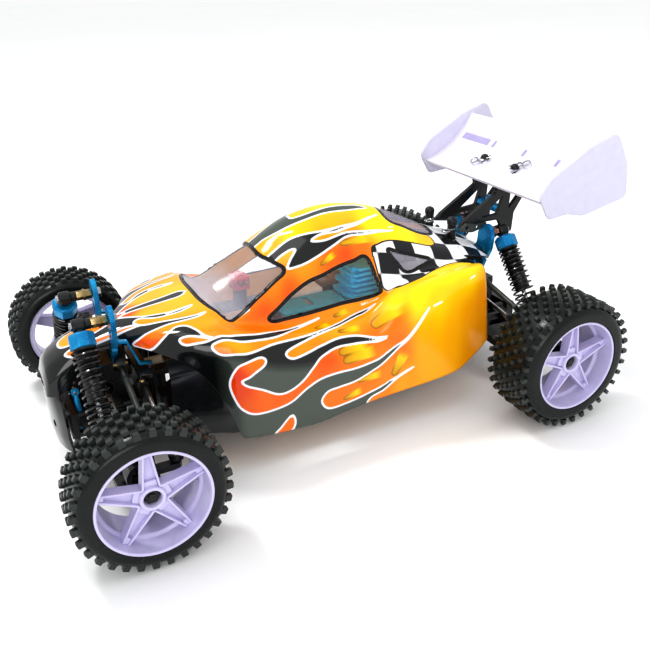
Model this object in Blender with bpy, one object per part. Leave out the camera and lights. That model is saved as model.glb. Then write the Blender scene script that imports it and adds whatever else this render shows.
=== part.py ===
"""Four-wheel-drive electric off-road buggy: every separate piece is its own object.

Frame: +X forward, +Y to the buggy's left, +Z up, ground at z = 0. Lengths below are in millimetres.
"""

import math

import bmesh
import bpy
import numpy as np
from mathutils import Matrix, Vector

MM = 0.001
X_SHIFT = 16.75          # brings the middle of the whole buggy to x = 0

# ---- driving dimensions -------------------------------------------------------------------
AXLE = {"front": 137.5, "rear": -137.5}
TYRE_R = {"front": 42.0, "rear": 44.0}
TYRE_Y = {"front": (93.0, 125.0), "rear": (83.0, 121.0)}
RIM_Y = {"front": (95.2, 125.4), "rear": (85.0, 120.8)}
RIM_R, RIM_BORE_R, TYRE_BEAD_R = 29.7, 26.3, 30.0
HUB_Y = {"front": 94.0, "rear": 92.0}        # where the drive shaft meets the wheel axle

ARM = Vector((0.0, 64.0, -12.0))             # every arm, link and tie rod has this vector
LOWER = {"front": (20.0, 40.0), "rear": (20.0, 42.0)}
UPPER = {"front": (20.0, 68.0), "rear": (20.0, 75.0)}
DIFF_Y, DIFF_Z = 19.0, 55.0                  # inner joint of the drive shafts
ARM_HALF_IN, ARM_HALF_OUT = 19.0, 11.5
PIN_R, PIN_BORE = 1.5, 1.85

SHOCK_X = {"front": 147.0, "rear": -151.0}
SHOCK_TOP = {"front": (22.0, 99.0), "rear": (20.0, 103.0)}
SHOCK_LOW = {"front": (66.0, 40.0), "rear": (68.0, 42.0)}
SPRING_R, WIRE_R, SPRING_TURNS = 6.7, 0.9, 5

KINGPIN_Y = 94.0
STEER_ARM = 20.0                             # knuckle arm, saver arm and idler arm
STEER_X, CRANK_X, CRANK_Y = 117.5, 106.0, 20.0
TIE_IN = (30.0, 58.0)

CHASSIS_Z, CHASSIS_T = 21.0, 3.0
MOTOR_Y, MOTOR_Z, MOTOR_R = 21.0, 42.4, 17.5
SPUR_R, PINION_R, GEAR_X = 19.0, 5.2, (-62.0, -58.3)
SHELL_T = 1.0
POST_X, POST_Y = -111.6, 13.9
SEG = 24

# Shell sections from nose to tail: (x, [(half width, height), ...]) from the top centre down
# to the lower edge. The last three sections are the rear deck alone.
SHELL = [
    (170.5, [(0, 64), (6, 63.5), (10, 62), (13, 60), (14.5, 58), (15.5, 56)]),
    (168, [(0, 72), (8, 71), (12, 69), (16, 65), (17.5, 61), (18, 56)]),
    (162, [(0, 77), (9, 76), (13.5, 74), (17.5, 69.5), (18.5, 63), (18.8, 57)]),
    (150, [(0, 82.5), (10, 81.5), (15, 79.5), (17.2, 75.5), (17.6, 72), (17.8, 68)]),
    (141, [(0, 85), (10, 84), (14.5, 82.4), (16.4, 80.6), (16.7, 79.3), (16.9, 78)]),
    (124, [(0, 89), (10, 88), (14, 86), (16.4, 82.8), (16.7, 80.5), (16.9, 78.3)]),
    (114, [(0, 92), (13, 91), (20, 89.5), (27, 87.5), (32, 84.5), (34, 81)]),
    (104, [(0, 93.5), (17, 93), (27, 92), (37, 90), (43, 85.5), (46, 79)]),
    (92, [(0, 95), (22, 94.5), (34, 93.5), (45, 91), (52, 85), (55, 72)]),
    (82, [(0, 96.5), (26, 95.5), (38, 94), (50, 90.5), (58, 81), (61, 58)]),
    (75, [(0, 98), (28, 96.5), (40, 94), (52, 90.5), (62, 78), (65, 40)]),
    (70, [(0, 100), (30, 96.5), (40.5, 92.5), (54, 89), (64.5, 75), (67.5, 26)]),
    (63, [(0, 104.5), (36, 90.5), (42, 89), (56, 86), (66, 70), (68, 24)]),
    (42, [(0, 116), (32, 101), (41, 84.5), (57, 81), (67.5, 61), (68, 22)]),
    (22, [(0, 127), (27.5, 112.5), (41, 82.5), (58, 77), (68, 58), (68, 21)]),
    (0, [(0, 135), (27, 118), (41, 81.5), (58, 75), (68, 58), (68, 24)]),
    (-20, [(0, 137.5), (27, 119.5), (41, 83), (57, 78), (68, 62), (68, 26)]),
    (-38, [(0, 135.5), (28, 115.5), (40, 88), (53, 88), (67, 76), (68, 27)]),
    (-60, [(0, 129), (28, 112), (37, 95), (47, 93.5), (64, 86), (68, 28)]),
    (-80, [(0, 119.5), (28, 107.5), (37, 96), (47, 95), (63, 90), (68, 30)]),
    (-100, [(0, 109.5), (27, 103), (37, 97), (47, 96), (61, 92), (66.5, 40)]),
    (-108, [(0, 106.5), (26, 102), (36, 97), (46, 96), (59, 93), (66, 47)]),
    (-117, [(0, 103.5), (24, 99.5), (34, 95)]),
    (-126, [(0, 99.5), (22, 96.5), (31, 91.5)]),
    (-134.5, [(0, 95.5), (20, 92.5), (27, 88)]),
]

MATERIALS = {
    "black_plastic": ((0.012, 0.012, 0.014, 1), 0.0, 0.45),
    "blue_alloy": ((0.01, 0.22, 0.62, 1), 0.9, 0.3),
    "steel": ((0.55, 0.56, 0.58, 1), 1.0, 0.28),
    "rubber": ((0.015, 0.015, 0.015, 1), 0.0, 0.8),
    "rim_white": ((0.78, 0.76, 0.92, 1), 0.0, 0.35),
    "wing_white": ((0.86, 0.85, 0.96, 1), 0.0, 0.4),
    "shell_orange": ((0.9, 0.3, 0.01, 1), 0.0, 0.15),
    "battery_wrap": ((0.03, 0.16, 0.4, 1), 0.0, 0.4),
    "motor_can": ((0.4, 0.4, 0.42, 1), 1.0, 0.35),
    "gear_plastic": ((0.75, 0.73, 0.68, 1), 0.0, 0.5),
}

for old in list(bpy.data.objects):
    bpy.data.objects.remove(old, do_unlink=True)


# ---- solid helpers ------------------------------------------------------------------------
def material(name):
    found = bpy.data.materials.get(name)
    if found:
        return found
    colour, metallic, roughness = MATERIALS[name]
    found = bpy.data.materials.new(name)
    found.use_nodes = True
    shader = found.node_tree.nodes["Principled BSDF"]
    shader.inputs["Base Color"].default_value = colour
    shader.inputs["Metallic"].default_value = metallic
    shader.inputs["Roughness"].default_value = roughness
    return found


def solid(verts, faces):
    """A closed mesh from points in millimetres, with its faces turned outwards."""
    mesh = bpy.data.meshes.new("solid")
    mesh.from_pydata([tuple(v) for v in verts], [], faces)
    work = bmesh.new()
    work.from_mesh(mesh)
    bmesh.ops.recalc_face_normals(work, faces=work.faces)
    work.to_mesh(mesh)
    work.free()
    return mesh


AXES = {
    "X": lambda a, b, t: (t, a, b),
    "Y": lambda a, b, t: (a, t, b),
    "Z": lambda a, b, t: (a, b, t),
}


def prism(axis, outline, low, high):
    """An outline swept along an axis. The outline is (y, z), (x, z) or (x, y) for X, Y or Z."""
    put, n = AXES[axis], len(outline)
    verts = [put(a, b, t) for t in (low, high) for a, b in outline]
    faces = [list(range(n)), list(range(n, 2 * n))]
    faces += [[i, (i + 1) % n, n + (i + 1) % n, n + i] for i in range(n)]
    return solid(verts, faces)


def box(x0, x1, y0, y1, z0, z1):
    return prism("Z", [(x0, y0), (x1, y0), (x1, y1), (x0, y1)], z0, z1)


def circle(a, b, radius, count=8, turn=0.5):
    steps = [2 * math.pi * (i + turn) / count for i in range(count)]
    return [(a + radius * math.cos(s), b + radius * math.sin(s)) for s in steps]


def rod(axis, a, b, radius, low, high, count=8):
    return prism(axis, circle(a, b, radius, count), low, high)


def lathe(axis, a, b, profile, count=SEG):
    """Turns a closed (radius, height) profile, clear of the axis, about an axis through (a, b)."""
    put, n, verts, faces = AXES[axis], len(profile), [], []
    for i in range(count):
        s = 2 * math.pi * i / count
        verts += [put(a + r * math.cos(s), b + r * math.sin(s), t) for r, t in profile]
    for i in range(count):
        k = (i + 1) % count
        for j in range(n):
            m = (j + 1) % n
            faces.append([i * n + j, i * n + m, k * n + m, k * n + j])
    return solid(verts, faces)


def bar(start, end, radius, count=8):
    """A round bar between two points."""
    start, end = Vector(start), Vector(end)
    turn = (end - start).to_track_quat("Z", "Y").to_matrix().to_4x4()
    mesh = prism("Z", circle(0, 0, radius, count), 0, (end - start).length)
    mesh.transform(Matrix.Translation(start) @ turn)
    return mesh


def along(start, end, axis_up=(1, 0, 0)):
    """Frame with Z along start to end and X along axis_up, placed at the start."""
    z = (Vector(end) - Vector(start)).normalized()
    x = Vector(axis_up)
    y = z.cross(x).normalized()
    turn = Matrix((x, y, z)).transposed().to_4x4()
    return Matrix.Translation(Vector(start)) @ turn


def placed(mesh, frame):
    mesh.transform(frame)
    return mesh


def combine(adds, cuts):
    """Exact union of the first meshes, less the second ones."""
    base = bpy.data.objects.new("base", adds[0])
    bpy.context.scene.collection.objects.link(base)
    helpers = [base]
    for operation, meshes in (("UNION", adds[1:]), ("DIFFERENCE", cuts)):
        for mesh in meshes:
            other = bpy.data.objects.new("other", mesh)
            bpy.context.scene.collection.objects.link(other)
            helpers.append(other)
            step = base.modifiers.new("step", "BOOLEAN")
            step.object, step.operation, step.solver = other, operation, "EXACT"
    bpy.context.view_layer.update()
    graph = bpy.context.evaluated_depsgraph_get()
    result = bpy.data.meshes.new_from_object(base.evaluated_get(graph))
    for helper in helpers:
        bpy.data.objects.remove(helper, do_unlink=True)
    work = bmesh.new()
    work.from_mesh(result)
    bmesh.ops.remove_doubles(work, verts=work.verts, dist=0.002)
    bmesh.ops.dissolve_degenerate(work, edges=work.edges, dist=0.002)
    work.to_mesh(result)
    work.free()
    return result


def node(name, look, adds, cuts=(), pivot=(0, 0, 0), side=1):
    """Makes the named object. Side -1 mirrors it to the buggy's right."""
    adds = list(adds)
    mesh = combine(adds, list(cuts)) if len(adds) + len(cuts) > 1 else adds[0]
    pivot = Vector((pivot[0], pivot[1], pivot[2]))
    if side < 0:
        mesh.transform(Matrix.Scale(-1, 4, (0, 1, 0)))
        mesh.flip_normals()
        pivot.y = -pivot.y
    mesh.transform(Matrix.Scale(MM, 4) @ Matrix.Translation(-pivot))
    mesh.materials.clear()
    mesh.materials.append(material(look))
    made = bpy.data.objects.new(name, mesh)
    made.location = ((pivot.x + X_SHIFT) * MM, pivot.y * MM, pivot.z * MM)
    bpy.context.scene.collection.objects.link(made)
    return made


def outer(point):
    return (point[0] + ARM.y, point[1] + ARM.z)


# ---- chassis ------------------------------------------------------------------------------
half = [(160.5, 12), (119, 13), (92, 24), (60, 44), (-66, 44), (-98, 28), (-122, 13), (-160, 12)]
node("chassis_plate", "blue_alloy",
     [prism("Z", half + [(x, -y) for x, y in reversed(half)], CHASSIS_Z, CHASSIS_Z + CHASSIS_T),
      prism("X", [(42, 22), (44.5, 22), (49, 30), (47.5, 31)], -62, 56),
      prism("X", [(-42, 22), (-47.5, 31), (-49, 30), (-44.5, 22)], -62, 56)])

deck = [(126.5, 11), (96, 11), (80, -1), (-96, -1), (-104, 11), (-120.5, 11),
        (-120.5, -11), (-104, -14), (80, -14), (96, -11), (126.5, -11)]
node("upper_deck", "blue_alloy", [prism("Z", deck, 76, 78.5)])


def pins(ys, z, x0, x1):
    return [rod("X", y, z, PIN_R, x0, x1) for y in ys]


def cups(x):
    """Output cups on both sides of a gearbox."""
    profile = [(4.3, 15.5), (4.3, 22), (5.8, 22), (5.8, 13), (2, 13), (2, 15.5)]
    left = lathe("Y", x, DIFF_Z, profile, 12)
    right = lathe("Y", x, DIFF_Z, [(r, -t) for r, t in profile], 12)
    return [left, right, rod("Y", x, DIFF_Z, 3, -15, 15)]


ly, lz = LOWER["front"]
uy, uz = UPPER["front"]
node("front_gearbox", "black_plastic",
     [box(124, 152, -13.7, 13.7, 24.3, 61.5), box(121.8, 127, -12, 12, 40, 75.7),
      box(112, 118, -25, 25, 24.4, 45), box(157, 160.4, -25, 25, 24.4, 45),
      box(116, 158.5, -10, 10, 24.5, 36),
      box(132, 140, -24, 24, 61, 72), rod("X", 0, DIFF_Z, 5, 118, 125, 16)]
     + cups(AXLE["front"]) + pins((ly, -ly), lz, 117, 158) + pins((uy, -uy), uz, 122.5, 133),
     [rod("X", 0, DIFF_Z, 3.5, 110, 123.5)])

ly, lz = LOWER["rear"]
uy, uz = UPPER["rear"]
node("rear_gearbox", "black_plastic",
     [box(-151, -123, -13.7, 13.7, 24.3, 65.8), box(-124, -110, -12, 12, 24.5, 75.7),
      box(-118, -112, -25, 25, 24.4, 47), box(-163, -157, -25, 25, 24.4, 47),
      box(-158, -150, -10, 10, 24.5, 36), box(-125.5, -121.5, -24, 24, 62, 79)]
     + cups(AXLE["rear"]) + pins((ly, -ly), lz, -158, -117) + pins((uy, -uy), uz, -134.5, -122),
     [rod("X", 0, DIFF_Z, 3.5, -120, -105)])

tower = [(13, 62.2), (13.2, 72.8), (19, 73), (25.5, 84), (29, 97), (28.5, 104), (25.5, 107.6),
         (20, 107.6), (17.6, 104), (17.6, 77.2), (12, 77.2)]
y, z = SHOCK_TOP["front"]
node("front_shock_tower", "blue_alloy",
     [prism("X", tower + [(-a, b) for a, b in reversed(tower)], 127.4, 130.4)]
     + pins((y, -y), z, 129.5, SHOCK_X["front"] + 4.5)
     + [rod("X", s * y, z, 3, 129.5, SHOCK_X["front"] - 3.6, 6) for s in (1, -1)],
     [rod("X", s * 21, h, 1.6, 120, 135, 8) for s in (1, -1) for h in (79, 86)])

tower = [(14, 66.2), (17, 78), (25, 92), (26.5, 104), (23.5, 109.5), (16.5, 109.5), (10.7, 103),
         (10.7, 96), (8, 90)]
y, z = SHOCK_TOP["rear"]
node("rear_shock_tower", "blue_alloy",
     [prism("X", tower + [(-a, b) for a, b in reversed(tower)], -140, -137)]
     + pins((y, -y), z, SHOCK_X["rear"] - 4.5, -139)
     + [rod("X", s * y, z, 3, SHOCK_X["rear"] + 3.6, -139, 6) for s in (1, -1)],
     [rod("X", s * 9, 78, 1.8, -145, -130, 8) for s in (1, -1)])

plan = [(163.8, 26), (167, 21), (169, 14), (170, 5)]
skin = plan + [(x, -y) for x, y in reversed(plan)]
back = [(x - 2.8, y * 0.93) for x, y in skin]
node("front_bumper", "black_plastic",
     [prism("Z", skin + list(reversed(back)), 21, 53), box(161.2, 168, -12, 12, 21, 25)],
     [rod("X", s * 13, 40, 2.2, 150, 175, 8) for s in (1, -1)])

node("battery_pack", "battery_wrap", [box(-52, 72, -43, -8, 24.3, 50)])

node("rear_body_mount", "black_plastic",
     [box(-136.7, -106, -18, 18, 84, 86.5)]
     + [rod("Z", POST_X, s * POST_Y, 3, 86, 117) for s in (1, -1)]
     + [rod("Z", POST_X, s * POST_Y, 4.4, 86, 93) for s in (1, -1)],
     [rod("X", s * POST_Y, 111.5, 0.8, -120, -100, 8) for s in (1, -1)])

# ---- wing ---------------------------------------------------------------------------------
WING_Y = 68.0
WING_TOP = [(-143.5, 136.5), (-152, 139.6), (-161, 144.4), (-170, 151.2), (-178, 159.4), (-184.5, 168.5)]
under = [(x - 0.9, z - 1.8) for x, z in WING_TOP]
plate = [(-196, 174), (-200, 172.5), (-210, 154), (-213, 134), (-211.5, 131), (-177, 124),
         (-163, 127.5), (-149, 126), (-146.5, 127.5), (-139, 141), (-147, 151.5), (-177, 168)]
node("rear_wing", "wing_white",
     [prism("Y", WING_TOP + list(reversed(under)), -WING_Y - 2, WING_Y + 2),
      prism("Y", plate, WING_Y, WING_Y + 2.2), prism("Y", plate, -WING_Y - 2.2, -WING_Y)],
     [rod("Z", -160.5, s * 17, 2.6, 120, 160) for s in (1, -1)])

truss = [(-118, 108.3), (-120.5, 112.5), (-149, 130), (-147.5, 134.4), (-153, 136.6), (-162, 141),
         (-171, 147), (-176, 151), (-179.5, 148), (-175, 128), (-165, 113), (-164, 99),
         (-140.3, 97), (-140.3, 103), (-154, 104.5), (-151, 109.5), (-137, 109.8), (-127, 107)]
front_gap = [(-136, 113), (-150.5, 114), (-154.5, 127)]
rear_gap = [(-160, 116), (-169, 126.5), (-171, 137), (-161, 131.5)]
node("wing_stay", "black_plastic",
     [prism("Y", truss, s * 11.6, s * 14.6) for s in (1, -1)]
     + [rod("Y", -156.6, 122, 2.0, -12, 12, 8), rod("Y", -147, 111.8, 1.8, -12, 12, 8),
        rod("Y", -171, 144, 1.8, -12, 12, 8)]
     + [rod("Z", -160.5, s * 17, 2.1, 134, 152) for s in (1, -1)]
     + [box(-163.5, -157.5, s * 15.8 - 3.2, s * 15.8 + 3.2, 133.5, 138) for s in (1, -1)],
     [prism("Y", gap, s * 9, s * 17) for gap in (front_gap, rear_gap) for s in (1, -1)])


# ---- body shell ---------------------------------------------------------------------------
def spline(table, step):
    """Catmull-Rom refinement of an array along its first axis."""
    count, rows = len(table), []
    for i in range(count - 1):
        p0, p1, p2, p3 = (table[min(max(i + k, 0), count - 1)] for k in (-1, 0, 1, 2))
        for j in range(step):
            t = j / step
            rows.append(0.5 * (2 * p1 + (p2 - p0) * t + (2 * p0 - 5 * p1 + 4 * p2 - p3) * t * t
                               + (3 * p1 - p0 - 3 * p2 + p3) * t ** 3))
    return np.array(rows + [table[-1]])


def thicken(verts, quads, thick):
    """Closes an open sheet into a skin of the given thickness, grown inwards."""
    skin = solid(verts, quads)
    skin.update()
    middle = Vector((0, 0, 60))
    normals = [v.normal.copy() for v in skin.vertices]
    top = max(range(len(verts)), key=lambda k: verts[k][2])
    sign = -1 if normals[top].dot(Vector(verts[top]) - middle) > 0 else 1
    inner = [Vector(v) + normals[k] * sign * thick for k, v in enumerate(verts)]
    count, seen = len(verts), {}
    for quad in quads:
        for a, b in zip(quad, quad[1:] + quad[:1]):
            seen.setdefault(frozenset((a, b)), []).append((a, b))
    faces = [list(q) for q in quads] + [[count + k for k in reversed(q)] for q in quads]
    faces += [[b, a, count + a, count + b] for (a, b), *more in seen.values() if not more]
    return solid([tuple(v) for v in verts] + [tuple(v) for v in inner], faces)


def half_grid(sections):
    return np.array([[(x, y, z) for y, z in line] for x, line in sections], float)


def full_grid(grid):
    """Both halves, with one more point between each two across."""
    mirror = grid[:, :0:-1] * np.array([1, -1, 1])
    both = np.concatenate([mirror, grid], axis=1)
    return np.swapaxes(spline(np.swapaxes(both, 0, 1), 2), 0, 1)


body = [s for s in SHELL if len(s[1]) == 6]
tail = [body[-1][:1] + (body[-1][1][:3],)] + [s for s in SHELL if len(s[1]) == 3]
main_grid = full_grid(half_grid(body))
tail_grid = full_grid(half_grid(tail))
rows, cols = main_grid.shape[:2]
verts = [tuple(p) for p in main_grid.reshape(-1, 3)]
quads = [[i * cols + j, (i + 1) * cols + j, (i + 1) * cols + j + 1, i * cols + j + 1]
         for i in range(rows - 1) for j in range(cols - 1)]
last = [(rows - 1) * cols + 6 + j for j in range(9)]
for row in tail_grid[1:]:
    new = list(range(len(verts), len(verts) + 9))
    verts += [tuple(p) for p in row]
    quads += [[last[j], new[j], new[j + 1], last[j + 1]] for j in range(8)]
    last = new
node("body_shell", "shell_orange", [thicken(verts, quads, SHELL_T)],
     [rod("Z", POST_X, s * POST_Y, 4.2, 90, 120) for s in (1, -1)])

# ---- motor and drive line -----------------------------------------------------------------
my, mz = MOTOR_Y, MOTOR_Z
node("drive_motor", "motor_can",
     [lathe("X", my, mz, [(2, -54), (MOTOR_R, -54), (MOTOR_R, -8), (14, -5.5), (6, -5.5), (6, -2),
                          (2, -2)], 16)])
fins = [box(-53.5, -22, y, y + 1.6, 63, 100 - abs(y - 14) * 0.4) for y in (2.5, 7, 11.5, 16, 20.5, 25)]
node("motor_mount", "blue_alloy",
     [prism("X", [(5, 24.4), (39, 24.4), (39, 58), (30, 66), (5, 66)], -57.6, -54.3),
      box(-55.5, -22, 2.5, 30, 60.4, 64)] + fins,
     [rod("X", my, mz, 4, -60, -50, 12)])
node("motor_pinion", "steel",
     [rod("X", my, mz, PINION_R, GEAR_X[0], GEAR_X[1], 12), rod("X", my, mz, 1.5, -64, -46, 8)],
     pivot=(GEAR_X[0], my, mz))
node("centre_shaft", "gear_plastic",
     [rod("X", 0, DIFF_Z, 2.8, -119.5, 122.5, 12), rod("X", 0, DIFF_Z, SPUR_R, GEAR_X[0], GEAR_X[1], 24),
      rod("X", 0, DIFF_Z, 4.4, -58.8, -50, 12)],
     pivot=(GEAR_X[0], 0, DIFF_Z))

# ---- steering -----------------------------------------------------------------------------
node("steering_servo", "black_plastic",
     [box(42, 82, 12, 32, 24.3, 60), box(36, 88, 12.2, 31.8, 50, 52.6),
      rod("Z", 72, 22, 5.5, 59, 64, 12), box(68.5, 75.5, 20, 34, 63.6, 66)])


def crank(name, side, look):
    y = CRANK_Y
    tip = CRANK_X - STEER_ARM
    parts = [rod("Z", CRANK_X, y, 4.6, 24.4, 59.6, 12),
             prism("Z", [(CRANK_X, y - 4), (CRANK_X, y + 4), (tip, y + 3.3), (tip - 3, y),
                         (tip, y - 3.3)], 56.6, 59.6),
             rod("Z", tip, y, PIN_R, 59, 67)]
    if name == "servo_saver":
        parts.append(box(CRANK_X - 2, CRANK_X + 2, y + 2, y + 17, 46, 49))
    node(name, look, parts, pivot=(CRANK_X, y, 24.4), side=side)


crank("servo_saver", 1, "black_plastic")
crank("idler_crank", -1, "black_plastic")
link = [(119.3, 32.5), (113, 34.5), (82.7, 25), (82.7, -25), (113, -34.5), (119.3, -32.5)]
node("steering_plate", "blue_alloy",
     [prism("Z", link, 62, 65)] + [rod("Z", STEER_X, s * TIE_IN[0], PIN_R, 54.5, 62.5) for s in (1, -1)],
     [rod("Z", CRANK_X - STEER_ARM, s * CRANK_Y, PIN_BORE, 55, 70) for s in (1, -1)],
     pivot=(CRANK_X - STEER_ARM, CRANK_Y, 62))


# ---- one corner ---------------------------------------------------------------------------
def wheel(end, side, label):
    x, z, radius = AXLE[end], TYRE_R[end], TYRE_R[end]
    y0, y1 = TYRE_Y[end]
    bead = TYRE_BEAD_R
    tread = [(bead, y0 + 2.2), (radius - 5, y0), (radius, y0 + 4), (radius, y1 - 4),
             (radius - 5, y1), (bead, y1 - 2.2), (bead, y1 - 5), (radius - 3.2, y1 - 4.5),
             (radius - 3.2, y0 + 4.5), (bead, y0 + 5)]
    node(f"{end}_tyre_{label}", "rubber", [lathe("Y", x, z, tread)], pivot=(x, y1, z), side=side)

    r0, r1 = RIM_Y[end]
    barrel = [(RIM_BORE_R, r0), (RIM_R, r0), (RIM_R, r1), (RIM_BORE_R, r1)]
    face = r1 - 5.5
    hub = [(2, HUB_Y[end] + 4), (4.3, HUB_Y[end] + 4), (4.3, HUB_Y[end] - 5.2),
           (5.6, HUB_Y[end] - 5.2), (5.6, HUB_Y[end] + 7), (8.5, HUB_Y[end] + 7), (8.5, face),
           (2, face)]
    parts = [lathe("Y", x, z, barrel), lathe("Y", x, z, hub, 12),
             rod("Y", x, z, 3.2, HUB_Y[end] + 5, face - 0.5, 8)]
    for k in range(5):
        a = math.radians(90 + 72 * k)
        u, v = Vector((math.cos(a), math.sin(a))), Vector((-math.sin(a), math.cos(a)))
        corner = [(6.5, -5.2), (28, -3.1), (28, 3.1), (6.5, 5.2)]
        outline = [(x + p * u.x + q * v.x, z + p * u.y + q * v.y) for p, q in corner]
        parts.append(prism("Y", outline, face - 6.5, face - 1.2))
    node(f"{end}_rim_{label}", "rim_white", parts, pivot=(x, HUB_Y[end], z), side=side)


def arm_frame(x, inner):
    """Local X along the buggy, local Y from the inner pin to the outer pin, local Z up."""
    v = ARM.normalized()
    x_axis, z_axis = Vector((1, 0, 0)), Vector((1, 0, 0)).cross(v)
    turn = Matrix((x_axis, v, z_axis)).transposed().to_4x4()
    return Matrix.Translation(Vector((x, inner[0], inner[1]))) @ turn


def lower_arm(end, side, label):
    x, inner, reach = AXLE[end], LOWER[end], ARM.length
    frame = arm_frame(x, inner)
    plan = [(-ARM_HALF_IN, 0), (ARM_HALF_IN, 0), (ARM_HALF_IN - 3, 22), (ARM_HALF_OUT + 1, 46),
            (ARM_HALF_OUT, reach), (6.3, reach), (6.3, reach - 8), (-6.3, reach - 8), (-6.3, reach),
            (-ARM_HALF_OUT, reach), (-ARM_HALF_OUT - 1, 46), (-ARM_HALF_IN + 3, 22)]
    window = [(-10, 9), (10, 9), (8, 20), (-8, 20)]
    gap = [(-8.3, 6.5), (8.3, 6.5), (8.3, -8), (-8.3, -8)]
    parts = [placed(prism("Z", plan, -2.6, 2.6), frame)]
    parts += [placed(rod("X", 0, 0, 4.2, *span), frame) for span in ((-19, -8.3), (8.3, 19))]
    parts += [placed(rod("X", reach, 0, 3.7, *span), frame) for span in ((-11.5, -6.3), (6.3, 11.5))]
    y, z = SHOCK_LOW[end]
    sx = SHOCK_X[end]
    lug = (sx - 8, sx - 4) if end == "front" else (sx + 4, sx + 8)
    pin = (sx - 6, sx + 3.6) if end == "front" else (sx - 3.6, sx + 6)
    parts += [prism("X", [(y - 6, z - 8.5), (y + 6, z - 10.5), (y + 3, z + 2.5), (y - 3, z + 2.5)], *lug),
              rod("X", y, z, PIN_R, *pin)]
    cuts = [placed(prism("Z", window, -6, 6), frame), placed(prism("Z", gap, -8, 8), frame),
            placed(rod("X", 0, 0, PIN_BORE, -25, 25), frame),
            placed(rod("X", reach, 0, PIN_BORE, -25, 25), frame)]
    node(f"{end}_lower_arm_{label}", "black_plastic", parts, cuts, pivot=(x, *inner), side=side)


def upper_link(name, look, inner, x_in, x_out, side, label):
    """A link with a round eye at each end, on pins along X."""
    end = outer(inner)
    mid_in, mid_out = sum(x_in) / 2, sum(x_out) / 2
    start = Vector((mid_in, *inner))
    stop = Vector((mid_out, *end))
    step = (stop - start).normalized()
    parts = [bar(start + step * 3, stop - step * 3, 2.1), rod("X", *inner, 4, *x_in),
             rod("X", *end, 4, *x_out)]
    cuts = [rod("X", *inner, PIN_BORE, 100 * math.copysign(1, mid_in), 160 * math.copysign(1, mid_in))
            if mid_in > 0 else rod("X", *inner, PIN_BORE, -160, -100),
            rod("X", *end, PIN_BORE, 100, 160) if mid_in > 0 else rod("X", *end, PIN_BORE, -160, -100)]
    node(f"{name}_{label}", look, parts, cuts, pivot=(mid_in, *inner), side=side)


def shock(end, side, label):
    x = SHOCK_X[end]
    top, low = Vector((x, *SHOCK_TOP[end])), Vector((x, *SHOCK_LOW[end]))
    frame, reach = along(top, low), (low - top).length
    cap = [(1.9, 5.5), (7.3, 5.5), (7.3, 13.5), (5.3, 13.5), (5.3, 45), (1.9, 45)]
    body = [placed(lathe("Z", 0, 0, cap, 10), frame), placed(rod("Z", 0, 0, 2.6, 3, 9.5), frame),
            rod("X", *SHOCK_TOP[end], 3.9, x - 3.2, x + 3.2, 10)]
    node(f"{end}_shock_body_{label}", "black_plastic", body,
         [rod("X", *SHOCK_TOP[end], PIN_BORE, x - 8, x + 8)], pivot=tuple(top), side=side)

    perch = [rod("X", *SHOCK_LOW[end], 4.0, x - 3, x + 3, 10),
             placed(rod("Z", 0, 0, 1.5, 30, reach - 3, 8), frame),
             placed(rod("Z", 0, 0, 3, reach - 13, reach - 3), frame),
             placed(rod("Z", 0, 0, 7.7, reach - 14, reach - 12, 12), frame)]
    node(f"{end}_shock_shaft_{label}", "black_plastic", perch,
         [rod("X", *SHOCK_LOW[end], PIN_R + 0.9, x - 8, x + 8)], pivot=tuple(low), side=side)

    low_z, high_z, sides, per_turn = 15.0, reach - 15.4, 3, 8
    count = SPRING_TURNS * per_turn
    verts, faces = [], []
    for i in range(count + 1):
        s = 2 * math.pi * i / per_turn
        t = low_z + (high_z - low_z) * i / count
        for k in range(sides):
            q = 2 * math.pi * k / sides
            r = SPRING_R + WIRE_R * math.cos(q)
            verts.append((r * math.cos(s), r * math.sin(s), t + WIRE_R * math.sin(q)))
    for i in range(count):
        for k in range(sides):
            m = (k + 1) % sides
            faces.append([i * sides + k, i * sides + m, (i + 1) * sides + m, (i + 1) * sides + k])
    faces += [list(range(sides)), [count * sides + k for k in range(sides)]]
    node(f"{end}_spring_{label}", "steel", [placed(solid(verts, faces), frame)],
         pivot=tuple(top), side=side)


def drive_shaft(end, side, label):
    x = AXLE[end]
    start, stop = Vector((x, DIFF_Y, DIFF_Z)), Vector((x, HUB_Y[end], TYRE_R[end]))
    step = (stop - start).normalized()
    ball = [(1, -2.2), (2.4, 0), (1, 2.2)]
    parts = [bar(start - step * 1.2, stop + step * 1.2, 1.4)]
    parts += [placed(lathe("Z", 0, 0, ball, 8), along(p, p + step)) for p in (start, stop)]
    node(f"{end}_drive_shaft_{label}", "steel", parts, pivot=tuple(start), side=side)


def front_hub(side, label):
    x, low, high = AXLE["front"], outer(LOWER["front"]), outer(UPPER["front"])
    lug = [(80.2, 25.5), (99, 25.5), (99, 32), (86, 32), (85.6, 36), (85.6, 48), (86, 52.2),
           (99, 52.2), (99, 58), (80.2, 58)]
    parts = [prism("X", lug, x - 5.8, x + 5.8), rod("Y", x, 42, 10.2, 80.3, 85.5, 12),
             rod("X", *low, 3.8, x - 5.8, x + 5.8), rod("X", *high, 3.8, x - 5.8, x + 5.8),
             rod("X", *low, PIN_R, x - 12, x + 12), rod("X", *high, PIN_R, x - 11, x)]
    cuts = [rod("Y", x, 42, 7, 70, 86.5, 12), rod("Z", x, KINGPIN_Y, 1.9, 20, 65)]
    node(f"front_hub_carrier_{label}", "black_plastic", parts, cuts, pivot=(x, *low), side=side)


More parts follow.
